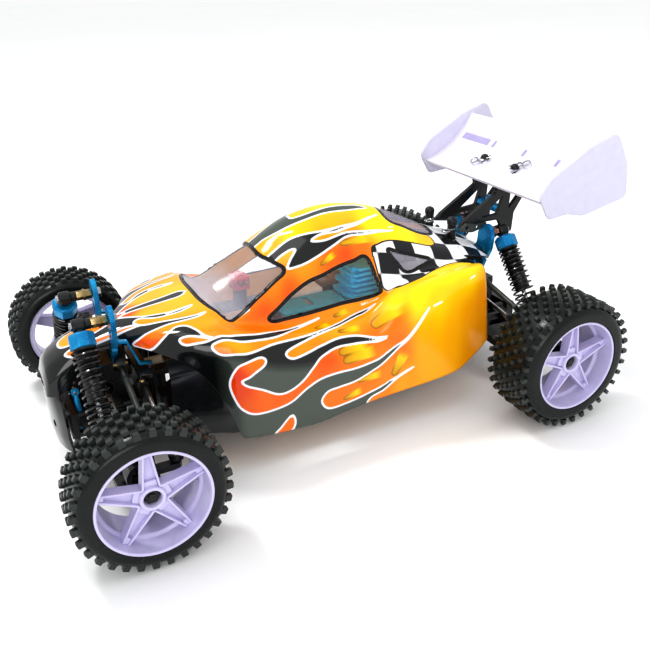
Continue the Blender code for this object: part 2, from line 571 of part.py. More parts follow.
def knuckle(side, label):
    x = AXLE["front"]
    parts = [rod("Y", x, 42, 8.6, 90, 100, 12), box(x - 4, x + 4, 90.1, 97.9, 32.6, 51.4),
             rod("Z", x, KINGPIN_Y, PIN_R, 26.5, 57.5),
             prism("Z", [(x - 4, 91.4), (STEER_X - 1, 91.4), (STEER_X - 2.6, 94), (STEER_X - 1, 96.6),
                         (x - 4, 96.6)], 38.6, 42.2),
             rod("Z", STEER_X, KINGPIN_Y, PIN_R, 41, 49.5)]
    node(f"steering_knuckle_{label}", "black_plastic", parts, [rod("Y", x, 42, 6.1, 80, 104.5, 12)],
         pivot=(x, KINGPIN_Y, 42), side=side)


def tie_rod(side, label):
    start = Vector((STEER_X, *TIE_IN))
    stop = start + ARM
    step = ARM.normalized()
    parts = [bar(start + step * 3.4, stop - step * 3.4, 1.7)]
    cuts = []
    for p in (start, stop):
        parts.append(rod("Z", p.x, p.y, 4.2, p.z - 2.1, p.z + 2.1, 10))
        cuts.append(rod("Z", p.x, p.y, PIN_R + 1.05, p.z - 5, p.z + 5, 10))
    node(f"tie_rod_{label}", "steel", parts, cuts, pivot=tuple(start), side=side)


def rear_hub(side, label):
    x, low, high = AXLE["rear"], outer(LOWER["rear"]), outer(UPPER["rear"])
    web = [(80.2, 28), (86, 26.5), (88.5, 34), (88.5, 56), (86.5, 66), (80.2, 64)]
    parts = [prism("X", web, x - 5.8, x + 5.8), rod("Y", x, 44, 9.2, 80.3, 98, 12),
             rod("X", *low, 3.8, x - 5.8, x + 5.8), rod("X", *high, 3.8, x - 5.8, x + 5.8),
             rod("X", *low, PIN_R, x - 12, x + 12), rod("X", *high, PIN_R, x, x + 12)]
    node(f"rear_hub_{label}", "black_plastic", parts, [rod("Y", x, 44, 6.1, 70, 104, 12)],
         pivot=(x, *low), side=side)


for side, label in ((1, "left"), (-1, "right")):
    for end in ("front", "rear"):
        wheel(end, side, label)
        lower_arm(end, side, label)
        shock(end, side, label)
        drive_shaft(end, side, label)
    upper_link("front_upper_arm", "black_plastic", UPPER["front"], (122.8, 131.4), (126.2, 131.2), side, label)
    upper_link("rear_upper_link", "black_plastic", UPPER["rear"], (-134, -126), (-131, -126), side, label)
    front_hub(side, label)
    knuckle(side, label)
    tie_rod(side, label)
    rear_hub(side, label)
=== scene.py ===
"""Looks for the four-wheel-drive radio control buggy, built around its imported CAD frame.

Lengths are millimetres in the design frame of the CAD part until they become mesh
coordinates: +X forward, +Y to the buggy's left, +Z up, ground at z = 0.
"""

import math

import bmesh
import bpy
import numpy as np
from mathutils import Matrix, Vector, kdtree


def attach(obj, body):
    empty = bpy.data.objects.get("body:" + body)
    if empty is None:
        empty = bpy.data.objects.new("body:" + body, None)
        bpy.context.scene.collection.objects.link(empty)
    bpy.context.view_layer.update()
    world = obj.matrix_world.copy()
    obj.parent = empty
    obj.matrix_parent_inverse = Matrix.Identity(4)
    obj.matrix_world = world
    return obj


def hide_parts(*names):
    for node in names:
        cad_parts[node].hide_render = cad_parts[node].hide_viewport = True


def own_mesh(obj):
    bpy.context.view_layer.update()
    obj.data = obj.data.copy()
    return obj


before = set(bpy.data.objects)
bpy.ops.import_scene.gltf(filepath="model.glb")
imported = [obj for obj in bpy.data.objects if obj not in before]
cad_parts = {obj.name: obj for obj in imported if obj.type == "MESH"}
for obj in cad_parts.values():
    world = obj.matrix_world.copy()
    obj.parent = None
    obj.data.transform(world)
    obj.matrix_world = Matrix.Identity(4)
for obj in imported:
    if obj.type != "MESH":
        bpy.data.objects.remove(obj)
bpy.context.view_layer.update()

MM = 0.001
X_SHIFT = 16.75                   # from the design frame's x to the world's
SIDES = ((1, "left"), (-1, "right"))
CORNERS = [(end, side, label) for side, label in SIDES for end in ("front", "rear")]


# ---- driving dimensions, the same as the CAD part's ----
AXLE = {"front": 137.5, "rear": -137.5}
TYRE_R = {"front": 42.0, "rear": 44.0}
TYRE_Y = {"front": (93.0, 125.0), "rear": (83.0, 121.0)}   # inner and outer side
RIM_Y = {"front": (95.2, 125.4), "rear": (85.0, 120.8)}
RIM_R = 29.7
BEAD_R = 30.6                     # where the tyre's wall meets the rim
HUB_Y = {"front": 94.0, "rear": 92.0}
SHOCK_X = {"front": 147.0, "rear": -151.0}
SHOCK_TOP = {"front": (22.0, 99.0), "rear": (20.0, 103.0)}   # (y, z) of the upper eye
SHOCK_LOW = {"front": (66.0, 40.0), "rear": (68.0, 42.0)}
ARM = Vector((0.0, 64.0, -12.0))  # from an arm's inner pivot to its outer one
UPPER = {"front": (20.0, 68.0), "rear": (20.0, 75.0)}   # (y, z) of the upper link's inner ball
TIE_ROD = Vector((117.5, 30.0, 58.0))                   # the tie rod's inner ball
POST_X, POST_Y, POST_HOLE_R = -111.6, 13.9, 4.2         # a body post and its hole in the shell
WING_POST_X, WING_POST_Y = -160.5, 17.0
WING_HALF = 69.0                  # from the middle of the wing to its end plates
SKIN_THICKNESS = 0.9              # of the shell and its windows


# ---- materials ----
def srgb(*rgb):
    """Linear colour from 0-255 sRGB values."""
    out = []
    for value in rgb:
        s = value / 255
        out.append(s / 12.92 if s <= 0.04045 else ((s + 0.055) / 1.055) ** 2.4)
    return (*out, 1.0)


class Nodes:
    """A short way to build a node tree."""

    def __init__(self, name):
        self.material = bpy.data.materials.new(name)
        self.material.use_nodes = True
        self.tree = self.material.node_tree
        self.shader = self.tree.nodes["Principled BSDF"]
        self.coords = self.add("ShaderNodeTexCoord").outputs["Object"]

    def add(self, kind, **settings):
        made = self.tree.nodes.new(kind)
        for key, value in settings.items():
            setattr(made, key, value)
        return made

    def link(self, source, target):
        self.tree.links.new(source, target)

    def noise(self, scale, detail=3.0):
        made = self.add("ShaderNodeTexNoise")
        for key, number in (("Scale", scale), ("Detail", detail), ("Roughness", 0.55)):
            made.inputs[key].default_value = number
        self.link(self.coords, made.inputs["Vector"])
        return made.outputs["Fac"]

    def span(self, value, low, high, to_low=0.0, to_high=1.0, smooth=False):
        made = self.add("ShaderNodeMapRange")
        if smooth:
            made.interpolation_type = "SMOOTHSTEP"
        for key, number in zip(("From Min", "From Max", "To Min", "To Max"),
                               (low, high, to_low, to_high)):
            made.inputs[key].default_value = number
        self.link(value, made.inputs["Value"])
        return made.outputs["Result"]

    def math(self, operation, a, b=0.0):
        made = self.add("ShaderNodeMath", operation=operation)
        for socket, value in zip(made.inputs, (a, b)):
            if isinstance(value, (int, float)):
                socket.default_value = value
            else:
                self.link(value, socket)
        return made.outputs[0]

    def mix(self, factor, a, b):
        made = self.add("ShaderNodeMix", data_type="RGBA")
        sockets = {"Factor": made.inputs[0], "A": made.inputs[6], "B": made.inputs[7]}
        for key, value in (("Factor", factor), ("A", a), ("B", b)):
            if isinstance(value, (int, float, tuple)):
                sockets[key].default_value = value
            else:
                self.link(value, sockets[key])
        return made.outputs[2]

    def attribute(self, name, output="Fac"):
        return self.add("ShaderNodeAttribute", attribute_name=name).outputs[output]

    def bump(self, height, strength):
        made = self.add("ShaderNodeBump")
        made.inputs["Strength"].default_value = strength
        made.inputs["Distance"].default_value = 0.3 * MM
        self.link(height, made.inputs["Height"])
        self.link(made.outputs["Normal"], self.shader.inputs["Normal"])


def look(name, dark, light, rough, metal=0.0, scale=180.0, grain=900.0, bump=0.15, coat=0.0,
         glow=0.0, specular=0.5):
    """A moulded, machined or painted finish: two close tones, uneven gloss and a fine grain."""
    n = Nodes(name)
    broad, fine = n.noise(scale), n.noise(grain, 2.0)
    tone = n.mix(n.span(broad, 0.3, 0.7), srgb(*dark), srgb(*light))
    n.link(tone, n.shader.inputs["Base Color"])
    n.link(n.span(fine, 0.25, 0.75, rough[0], rough[1]), n.shader.inputs["Roughness"])
    n.shader.inputs["Metallic"].default_value = metal
    n.shader.inputs["Coat Weight"].default_value = coat
    n.shader.inputs["Coat Roughness"].default_value = 0.06
    n.shader.inputs["Specular IOR Level"].default_value = specular
    if glow:
        n.shader.inputs["Subsurface Weight"].default_value = glow
        n.shader.inputs["Subsurface Scale"].default_value = 0.004
    n.bump(fine, bump)
    return n.material


# The carcass rubber is darker than the tread blocks: it carries the sidewall's own dark tone, and painted
# shade in the gaps between the blocks.
RUBBER = look("tyre_rubber", (12, 16, 15), (22, 27, 25), (0.2, 0.32), scale=60, bump=0.1,
              specular=0.36)
TREAD = look("tread_rubber", (34, 40, 39), (50, 56, 54), (0.22, 0.36), scale=60, bump=0.12)
RIM = look("rim_nylon", (200, 194, 226), (207, 202, 231), (0.27, 0.31), glow=0.06, coat=0.25,
           bump=0.015)
WING = look("wing_nylon", (232, 228, 243), (236, 232, 245), (0.3, 0.38), glow=0.05, bump=0.03)
PLATE = look("endplate_nylon", (210, 208, 226), (215, 213, 230), (0.3, 0.38), bump=0.03)
BLUE = look("blue_anodised", (4, 118, 176), (38, 166, 216), (0.18, 0.32), metal=0.45,
            scale=90, grain=2200, bump=0.04)
BRASS = look("brass", (140, 120, 84), (186, 166, 122), (0.16, 0.26), metal=1.0, bump=0.03)
STEEL = look("bright_steel", (150, 152, 155), (205, 206, 208), (0.16, 0.28), metal=1.0, bump=0.03)
WIRE = look("spring_wire", (10, 10, 11), (22, 22, 24), (0.1, 0.2), metal=0.3, coat=1.0, bump=0.02)
BLACK = look("black_nylon", (10, 11, 12), (22, 23, 24), (0.25, 0.42), scale=120, bump=0.12)
GLOSS = look("gloss_black", (9, 11, 14), (24, 27, 29), (0.12, 0.2), coat=0.6, bump=0.03)
GREY = look("grey_link", (58, 64, 62), (82, 88, 84), (0.3, 0.4), metal=0.4, bump=0.04)
DECK_BLACK = look("black_plate", (12, 13, 15), (24, 26, 28), (0.22, 0.36), coat=0.3, bump=0.05)
GEAR = look("gear_plastic", (205, 198, 178), (226, 220, 202), (0.4, 0.55), glow=0.05)
WRAP = look("battery_wrap", (14, 58, 130), (24, 84, 168), (0.2, 0.34), coat=0.4)
CAN = look("motor_can", (120, 122, 126), (160, 161, 164), (0.25, 0.4), metal=0.95)
RED = look("red_case", (196, 34, 40), (224, 62, 60), (0.2, 0.34), coat=0.4)
AMBER = look("amber_case", (120, 84, 22), (150, 110, 36), (0.25, 0.4), coat=0.3)
TEAL = look("teal_deck", (0, 138, 166), (20, 174, 198), (0.24, 0.38))


# ---- solids: each is (vertices, faces) in millimetres ----
AXES = {"X": lambda a, b, t: (t, a, b), "Y": lambda a, b, t: (a, t, b), "Z": lambda a, b, t: (a, b, t)}


def join(parts):
    """All of the solids as one."""
    verts, faces = [], []
    for points, polys in parts:
        base = len(verts)
        verts += [tuple(p) for p in points]
        faces += [[base + i for i in poly] for poly in polys]
    return verts, faces


def prism(axis, outline, low, high):
    """Pushes an outline along the axis from low to high."""
    put, n = AXES[axis], len(outline)
    verts = [put(a, b, t) for t in (low, high) for a, b in outline]
    faces = [list(range(n)), list(range(2 * n - 1, n - 1, -1))]
    faces += [[(i + 1) % n, i, n + i, n + (i + 1) % n] for i in range(n)]
    return verts, faces


def block(x0, x1, y0, y1, z0, z1):
    """A box between these limits."""
    return prism("Z", [(x0, y0), (x1, y0), (x1, y1), (x0, y1)], z0, z1)


def rod(axis, a, b, radius, low, high, count=24):
    """A straight bar along the axis, centred on (a, b): round, or hexagonal with a count of 6."""
    turns = [2 * math.pi * i / count for i in range(count)]
    return prism(axis, [(a + radius * math.cos(t), b + radius * math.sin(t)) for t in turns], low, high)


def ring_faces(rings, count, wrap=False):
    """Faces from each ring of count points to the next, and from the last to the first if wrap."""
    faces = []
    for i in range(rings if wrap else rings - 1):
        k = (i + 1) % rings
        for j in range(count):
            m = (j + 1) % count
            faces.append([i * count + j, i * count + m, k * count + m, k * count + j])
    return faces


def lathe(axis, a, b, profile, count=64):
    """Turns a closed (radius, height) profile about the axis through (a, b)."""
    put, verts = AXES[axis], []
    for i in range(count):
        s = 2 * math.pi * i / count
        verts += [put(a + r * math.cos(s), b + r * math.sin(s), t) for r, t in profile]
    return verts, ring_faces(count, len(profile), True)


def even(half, middle):
    """A (radius, height) profile that is the same on both sides of the middle."""
    return [(r, middle - t) for r, t in half] + [(r, middle + t) for r, t in reversed(half)]


def catmull(p0, p1, p2, p3, t):
    """The Catmull-Rom curve between p1 and p2."""
    return 0.5 * (2 * p1 + (p2 - p0) * t + (2 * p0 - 5 * p1 + 4 * p2 - p3) * t * t
                  + (3 * p1 - p0 - 3 * p2 + p3) * t ** 3)


def tube(path, radius, count=10, ends=True):
    """A round bar swept along a path, with a radius for all of it or one for each point."""
    path = [Vector(p) for p in path]
    radii = radius if isinstance(radius, (list, tuple)) else [radius] * len(path)
    verts, up = [], None
    for i, p in enumerate(path):
        ahead = (path[min(i + 1, len(path) - 1)] - path[max(i - 1, 0)]).normalized()
        if up is None:
            up = ahead.orthogonal().normalized()
        up = (up - ahead * up.dot(ahead)).normalized()
        over = ahead.cross(up)
        for k in range(count):
            s = 2 * math.pi * k / count
            verts.append(tuple(p + (up * math.cos(s) + over * math.sin(s)) * radii[i]))
    faces = ring_faces(len(path), count)
    if ends:
        faces += [list(range(count))[::-1], [(len(path) - 1) * count + k for k in range(count)]]
    return verts, faces


def moved(part, matrix):
    """The solid with every point taken through the matrix."""
    return [tuple(matrix @ Vector(p)) for p in part[0]], part[1]


def along(start, end):
    """Frame placed at the start, with its Z along start to end and its X the world's."""
    z = (end - start).normalized()
    x = Vector((1, 0, 0))
    y = z.cross(x).normalized()
    return Matrix.Translation(start) @ Matrix((x, y, z)).transposed().to_4x4()


def rounded(outline, radius, steps=4):
    """An outline with its corners rounded."""
    out, n = [], len(outline)
    for i in range(n):
        p, a, b = (Vector(outline[k]) for k in (i, i - 1, (i + 1) % n))
        cut = min(radius, (a - p).length * 0.45, (b - p).length * 0.45)
        start, end = p + (a - p).normalized() * cut, p + (b - p).normalized() * cut
        for k in range(steps + 1):
            t = k / steps
            out.append(tuple(start * (1 - t) ** 2 + p * 2 * t * (1 - t) + end * t * t))
    return out


def both_sides(half):
    """A left outline (x, y) and its mirror image, as one outline."""
    return half + [(x, -y) for x, y in reversed(half)]


def outward(mesh):
    """Turns every face of a closed mesh to face outwards."""
    work = bmesh.new()
    work.from_mesh(mesh)
    bmesh.ops.recalc_face_normals(work, faces=work.faces)
    work.to_mesh(mesh)
    work.free()


def placed(name, part, side):
    """An object in the scene from one solid in millimetres, mirrored where side is -1."""
    mesh = bpy.data.meshes.new(name)
    mesh.from_pydata([((x + X_SHIFT) * MM, side * y * MM, z * MM) for x, y, z in part[0]], [], part[1])
    outward(mesh)
    made = bpy.data.objects.new(name, mesh)
    bpy.context.scene.collection.objects.link(made)
    return made


def cut_away(made, cuts, side):
    """Takes the solids in cuts out of the object's mesh."""
    cutters = [placed("cut", part, side) for part in cuts]
    for cutter in cutters:
        step = made.modifiers.new("cut", "BOOLEAN")
        step.object, step.operation, step.solver = cutter, "DIFFERENCE", "EXACT"
    bpy.context.view_layer.update()
    graph = bpy.context.evaluated_depsgraph_get()
    name = made.name
    made.data = bpy.data.meshes.new_from_object(made.evaluated_get(graph))
    made.data.name = name
    made.modifiers.clear()
    for cutter in cutters:
        bpy.data.objects.remove(cutter, do_unlink=True)


def soften(made, width):
    """Rounds every edge sharper than 40 degrees by this many millimetres."""
    step = made.modifiers.new("edges", "BEVEL")
    step.width, step.segments, step.limit_method = width * MM, 2, "ANGLE"
    step.angle_limit = math.radians(40)
    step.use_clamp_overlap = True


def piece(name, parts, material, body, replaces=(), side=1, bevel=0.0, angle=35.0,
          cuts=()):
    """Makes the named object from solids in millimetres and rides it on its CAD body."""
    made = placed(name, join(parts), side)
    made.data.materials.append(material)
    if cuts:
        cut_away(made, cuts, side)
    if bevel:
        soften(made, bevel)
    made.data.shade_smooth()
    made.data.set_sharp_from_angle(angle=math.radians(angle))
    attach(made, body)
    if replaces:
        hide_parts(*replaces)
    return made


# ---- wheels ----
# Tread blocks: how many go round, where the rows lie across, (length, width), and height.
BLOCKS = {"front": (32, (-12.6, -7.6, -2.55, 2.55, 7.6, 12.6), (3.8, 3.0), 2.1),
          "rear": (34, (-16.2, -10.9, -5.45, 0, 5.45, 10.9, 16.2), (2.7, 2.5), 2.3)}
SHOULDER = 12.0                   # rows beyond this stand on the falling shoulder
SPOKES = 5


def stud(radius, angle, y, size, height, x, z):
    """One tread block standing on the carcass, narrowing towards its top."""
    out = Vector((math.cos(angle), 0, math.sin(angle)))
    tangent = Vector((-math.sin(angle), 0, math.cos(angle)))
    across = Vector((0, 1, 0))
    centre = Vector((x, y, z))
    verts = []
    for level, shrink in ((radius - 0.6, 1.0), (radius + height * 0.85, 0.91),
                          (radius + height, 0.74)):
        for a, b in ((-1, -1), (1, -1), (1, 1), (-1, 1)):
            verts.append(tuple(centre + out * level + tangent * a * size[0] / 2 * shrink
                               + across * b * size[1] / 2 * shrink))
    faces = [[0, 1, 2, 3], [11, 10, 9, 8]]
    for level in (0, 4):
        faces += [[level + (i + 1) % 4, level + i, level + 4 + i, level + 4 + (i + 1) % 4]
                  for i in range(4)]
    return verts, faces


def carcass(end, crown, steps=24):
    """Outline of the tyre as (radius, y), rounded over the shoulders and bulged at the sides."""
    y0, y1 = TYRE_Y[end]
    mid, half = (y0 + y1) / 2, (y1 - y0) / 2
    rise = TYRE_R[end] - crown - BEAD_R
    line = [(BEAD_R - 1.2, y0 + 3.2), (BEAD_R + 0.6, y0 + 1.4)]
    for k in range(steps + 1):
        s = math.pi * (1 - k / steps)
        c, q = math.cos(s), math.sin(s)
        line.append((BEAD_R + rise * q ** 0.55, mid + half * math.copysign(abs(c) ** 0.5, c)))
    line += [(BEAD_R + 0.6, y1 - 1.4), (BEAD_R - 1.2, y1 - 3.2), (BEAD_R - 1.2, y1 - 6),
             (BEAD_R + 5, y1 - 5), (BEAD_R + 5, y0 + 5), (BEAD_R - 1.2, y0 + 6)]
    return line


def tyre(end, side, label):
    """The carcass with a moulded ring on each wall, and its tread blocks."""
    x, z = AXLE[end], TYRE_R[end]
    y0, y1 = TYRE_Y[end]
    mid = (y0 + y1) / 2
    around, rows, size, tall = BLOCKS[end]
    skin = [lathe("Y", x, z, carcass(end, tall), 96)]
    for s in (-1, 1):
        wall = mid + s * (y1 - y0) / 2
        ring = [(BEAD_R + out, wall - s * depth)
                for out, depth in ((1.6, 1.2), (2.0, 0.5), (2.6, 0.5), (3.0, 1.4))]
        skin.append(lathe("Y", x, z, ring, 96))
    blocks = []
    for row, offset in enumerate(rows):
        drop, extra = (1.5, 1.0) if abs(offset) > SHOULDER else (0.0, 0.0)
        for k in range(around):
            angle = 2 * math.pi * (k + 0.5 * (row % 2)) / around
            blocks.append(stud(TYRE_R[end] - tall - drop, angle, mid + offset, size,
                               tall + extra - 0.05, x, z))
    body = f"{end}_wheel_{label}"
    # The darker carcass showing between the lighter tread blocks is painted shade.
    piece(f"{end}_carcass_{label}", skin, RUBBER, body, [f"{end}_tyre_{label}"], side,
          angle=38)
    piece(f"{end}_tread_{label}", blocks, TREAD, body, (), side, angle=38)


def rim(end, side, label):
    """A dished five-spoke rim, each spoke a web between two ribs, and the nut that holds it."""
    x, z = AXLE[end], TYRE_R[end]
    back, front = RIM_Y[end]
    face, bore = front - 5.5, RIM_R - 1.0
    barrel = [(bore - 2.4, back), (RIM_R, back), (RIM_R + 0.5, back + 1), (RIM_R - 0.6, back + 2.4),
              (RIM_R - 0.6, front - 3), (RIM_R + 0.7, front - 1.6), (RIM_R + 0.8, front - 0.5),
              (RIM_R + 0.3, front), (bore + 0.5, front), (bore, front - 0.5),
              (bore - 0.3, face - 1), (bore - 0.6, face - 6), (bore - 2.4, face - 7.5)]
    hub = [(3.4, face - 8), (7.4, face - 8), (7.0, face - 0.4), (6.6, face + 0.4), (5.2, face + 0.4),
           (4.8, face - 0.2), (4.7, face - 4.5), (3.4, face - 4.5)]
    ribs = [[(5.4, s * 5.0), (6.2, s * 3.7), (28.2, s * 0.9), (28.4, s * 2.2)] for s in (-1, 1)]
    web = [(6.0, -4.4), (28.2, -1.5), (28.2, 1.5), (6.0, 4.4)]
    step = [(6.0, -3.6), (10.0, -3.2), (10.0, 3.2), (6.0, 3.6)]
    toe = [(24.5, -1.2), (28.4, -1.0), (28.4, 1.0), (24.5, 1.2)]
    spoke = [(rib, 0.2) for rib in ribs] + [(web, 3.4), (step, 1.6), (toe, 0.9)]
    parts = [lathe("Y", x, z, barrel, 96), lathe("Y", x, z, hub, 48)]
    for k in range(SPOKES):
        a = math.radians(90 + 360 / SPOKES * k)
        u, v = Vector((math.cos(a), math.sin(a))), Vector((-math.sin(a), math.cos(a)))
        for outline, depth in spoke:
            plan = [(x + p * u.x + q * v.x, z + p * u.y + q * v.y) for p, q in outline]
            parts.append(prism("Y", plan, face - (7.2 if outline in ribs else 7.0), face - depth))
    body = f"{end}_wheel_{label}"
    piece(f"{end}_star_{label}", parts, RIM, body, [f"{end}_rim_{label}"], side,
          bevel=0.35)
    nut = [lathe("Y", x, z, [(2.2, face - 4.6), (4.2, face - 4.6), (4.2, face - 2.2),
                             (3.8, face - 1.8), (2.2, face - 1.8)], 6),
           rod("Y", x, z, 2.3, HUB_Y[end] + 5, face - 1.0, 20),
           lathe("Y", x, z, [(2.4, face - 4.6), (4.6, face - 4.6), (4.6, face - 4.2),
                             (2.4, face - 4.2)], 32)]
    piece(f"{end}_wheel_nut_{label}", nut, BLACK, body, side=side, bevel=0.2)


for corner in CORNERS:
    tyre(*corner)
    rim(*corner)


# ---- shock absorbers ----
COIL_R, COIL_WIRE_R, COIL_START = 7.1, 0.72, 15.3
COIL_TURNS, COIL_STEPS = {"front": 12, "rear": 14}, 24


def shock(end, side, label):
    """One shock absorber from its upper eye down, drawn along Z and turned into place."""
    x = SHOCK_X[end]
    top, low = Vector((x, *SHOCK_TOP[end])), Vector((x, *SHOCK_LOW[end]))
    place, reach = along(top, low), (low - top).length
    body, shaft = f"{end}_shock_body_{label}", f"{end}_shock_shaft_{label}"

    spin = Matrix.Rotation(math.pi / 8 if end == "front" else 0.0, 4, "Z")
    cap = [(3.2, 4.6), (6.4, 4.6), (7.7, 5.8), (7.7, 12.9), (7.2, 13.6), (3.2, 13.6)]
    piece(f"{end}_shock_cap_{label}", [moved(lathe("Z", 0, 0, cap, 8), place @ spin)], BLUE, body,
          side=side, bevel=0.3, angle=25)

    barrel = [(2.0, 13.4), (6.6, 13.4), (6.6, 14.8), (5.6, 15.2)]
    for k in range(16):           # the barrel's thread
        t = 15.6 + k * 1.1
        barrel += [(5.3, t), (5.6, t + 0.5)]
    barrel += [(5.2, 34), (5.2, 44.6), (4.8, 45.2), (2.0, 45.2)]
    eye = lathe("X", *SHOCK_TOP[end], even([(1.9, 3.4), (3.6, 3.4), (4.2, 2.6)], x), 28)
    neck = lathe("Z", 0, 0, [(0.4, 2.4), (3.0, 2.4), (3.4, 5.0), (0.4, 5.2)], 20)
    piece(f"{end}_shock_barrel_{label}",
          [moved(lathe("Z", 0, 0, barrel, 32), place), eye, moved(neck, place)], BLACK, body, [body],
          side)

    if end == "front":
        bolt = [rod("X", *SHOCK_TOP[end], 2.6, x + 3.5, x + 4.9, 6),
                rod("X", *SHOCK_TOP[end], 1.4, x + 4.9, x + 5.3, 12)]
    else:
        bolt = [rod("X", *SHOCK_TOP[end], 2.6, x - 4.9, x - 3.5, 6)]
    piece(f"{end}_shock_bolt_{label}", bolt, STEEL, "chassis", side=side, bevel=0.15)

    seat = [(r, reach - up) for r, up in ((1.6, 15.0), (5.8, 15.0), (6.2, 14.2), (7.9, 14.0), (7.9, 12.4),
                                          (7.3, 11.8), (3.4, 11.6), (3.0, 3.2), (1.6, 3.2))]
    eye = lathe("X", *SHOCK_LOW[end], even([(2.5, 3.1), (3.7, 3.1), (4.2, 2.4)], x), 28)
    piece(f"{end}_shock_perch_{label}", [moved(lathe("Z", 0, 0, seat, 32), place), eye], BLACK, shaft,
          [shaft], side)
    piece(f"{end}_shock_rod_{label}", [moved(rod("Z", 0, 0, 1.5, 40, reach - 11, 20), place)], STEEL,
          shaft, side=side)

    length = reach - 15.6 - COIL_START
    count = COIL_TURNS[end] * COIL_STEPS
    path = []
    for i in range(count + 1):
        t = i / count
        ease = t - 0.03 * math.sin(2 * math.pi * t)
        s = 2 * math.pi * i / COIL_STEPS
        path.append((COIL_R * math.cos(s), COIL_R * math.sin(s), COIL_START + length * ease))
    coil = piece(f"{end}_coil_{label}", [moved(tube(path, COIL_WIRE_R, 8), place)], WIRE, body,
                 [f"{end}_spring_{label}"], side)
    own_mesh(coil)


for corner in CORNERS:
    shock(*corner)


# ---- body shell ----
# Sections from tail to nose: (x, half widths, heights) from the top centre to the lower edge.
DECK = [
    (-134.5, (0, 20, 27), (95.5, 92.5, 88)),
    (-126, (0, 22, 31), (99.5, 96.5, 91.5)),
    (-117, (0, 24, 34), (103.5, 99.5, 95)),
    (-108, (0, 26, 36), (106.5, 102, 97)),
]
SHELL = [
    (-108, (0, 26, 36, 46, 59, 66), (106.5, 102, 97, 96, 93, 47)),
    (-100, (0, 27, 37, 47, 61, 66.5), (109.5, 103, 97, 96, 92, 40)),
    (-80, (0, 28, 37, 47, 63, 68), (119.5, 107.5, 96, 95, 90, 30)),
    (-60, (0, 28, 37, 47, 64, 68), (129, 112, 95, 93.5, 86, 28)),
    (-38, (0, 28, 40, 53, 67, 68), (135.5, 115.5, 88, 88, 76, 27)),
    (-20, (0, 27, 41, 57, 68, 68), (137.5, 119.5, 83, 78, 62, 26)),
    (0, (0, 27, 41, 58, 68, 68), (135, 118, 81.5, 75, 58, 24)),
    (22, (0, 27.5, 41, 58, 68, 68), (125.8, 112.5, 82.5, 77, 58, 21)),
    (42, (0, 32, 41, 57, 67.5, 68), (113.8, 101, 84.5, 81, 61, 22)),
    (63, (0, 36, 42, 56, 66, 68), (103.4, 90.5, 89, 86, 70, 24)),
    (70, (0, 30, 40.5, 54, 64.5, 67.5), (100, 96.5, 92.5, 89, 75, 26)),
    (75, (0, 28, 40, 52, 62, 65), (98, 96.5, 94, 90.5, 78, 40)),
    (82, (0, 26, 38, 50, 58, 61), (96.5, 95.5, 94, 90.5, 81, 58)),
    (92, (0, 22, 34, 45, 52, 55), (95, 94.5, 93.5, 91, 85, 72)),
    (104, (0, 17, 27, 37, 43, 46), (93.5, 93, 92, 90, 85.5, 79)),
    (114, (0, 13, 20, 27, 32, 34), (92, 91, 89.5, 87.5, 84.5, 81)),
    (124, (0, 10, 14, 16.4, 16.7, 16.9), (89, 88, 86, 82.8, 80.5, 78.3)),
    (141, (0, 10, 14.5, 16.4, 16.7, 16.9), (85, 84, 82.4, 80.6, 79.3, 78)),
    (150, (0, 10, 15, 17.2, 17.6, 17.8), (82.5, 81.5, 79.5, 75.5, 72, 68)),
    (162, (0, 9, 13.5, 17.5, 18.5, 18.8), (77, 76, 74, 69.5, 63, 57)),
    (168, (0, 8, 12, 16, 17.5, 18), (72, 71, 69, 65, 61, 56)),
    (170.5, (0, 6, 10, 13, 14.5, 15.5), (64, 63.5, 62, 60, 58, 56)),
]
V_SCALE = 20.0                    # about how many millimetres lie between two section points


class Sheet:
    """The shell surface as a function of x and of v, the section point counted from the centre.

    It is smooth across a section and keeps to the range of its neighbours along x.
    """

    def __init__(self, sections):
        self.x = np.array([s[0] for s in sections], float)
        table = np.array([list(zip(s[1], s[2])) for s in sections], float)
        step = np.diff(self.x)
        slope = np.diff(table, axis=0) / step[:, None, None]
        w1 = (2 * step[1:] + step[:-1])[:, None, None]
        w2 = (step[1:] + 2 * step[:-1])[:, None, None]
        with np.errstate(all="ignore"):
            level = (w1 + w2) / (w1 / slope[:-1] + w2 / slope[1:])
        self.slope = np.zeros_like(table)
        self.slope[1:-1] = np.where(slope[:-1] * slope[1:] > 0, level, 0)
        self.slope[0], self.slope[-1] = slope[0], slope[-1]
        self.table, self.step = table, step

    def __call__(self, x, v):
        x, v = np.asarray(x, float).ravel(), np.asarray(v, float).ravel()
        k = np.clip(np.searchsorted(self.x, x) - 1, 0, len(self.x) - 2)
        h = self.step[k][:, None, None]
        t = ((x - self.x[k]) / self.step[k])[:, None, None]
        rows = ((1 + 2 * t) * (1 - t) ** 2 * self.table[k] + t * (1 - t) ** 2 * h * self.slope[k]
                + t * t * (3 - 2 * t) * self.table[k + 1] + t * t * (t - 1) * h * self.slope[k + 1])
        count = rows.shape[1]
        side, v = np.where(v < 0, -1.0, 1.0), np.abs(v)
        k = np.clip(np.floor(v).astype(int), 0, count - 2)
        t = (v - k)[:, None]
        every = np.arange(len(x))

        def point(i):
            found = rows[every, np.clip(np.abs(i), 0, count - 1)].copy()
            found[:, 0] *= np.where(i < 0, -1, 1)
            return found

        p0, p1, p2 = point(k - 1), point(k), point(k + 1)
        p3 = np.where((k + 2 > count - 1)[:, None], 2 * p2 - p1, point(k + 2))
        yz = catmull(p0, p1, p2, p3, t)
        return np.stack([x, yz[:, 0] * side, yz[:, 1]], axis=1)


BODY, TAIL = Sheet(SHELL), Sheet(DECK)
TAIL_X = -108.0                   # behind this only the narrow deck goes on


def curve(points, steps=20):
    """Smooth closed curve through (x, v) points."""
    p1 = np.array(points, float)
    p0, p2, p3 = (np.roll(p1, shift, axis=0) for shift in (1, -1, -2))
    return np.stack([catmull(p0, p1, p2, p3, i / steps) for i in range(steps)], axis=1).reshape(-1, 2)


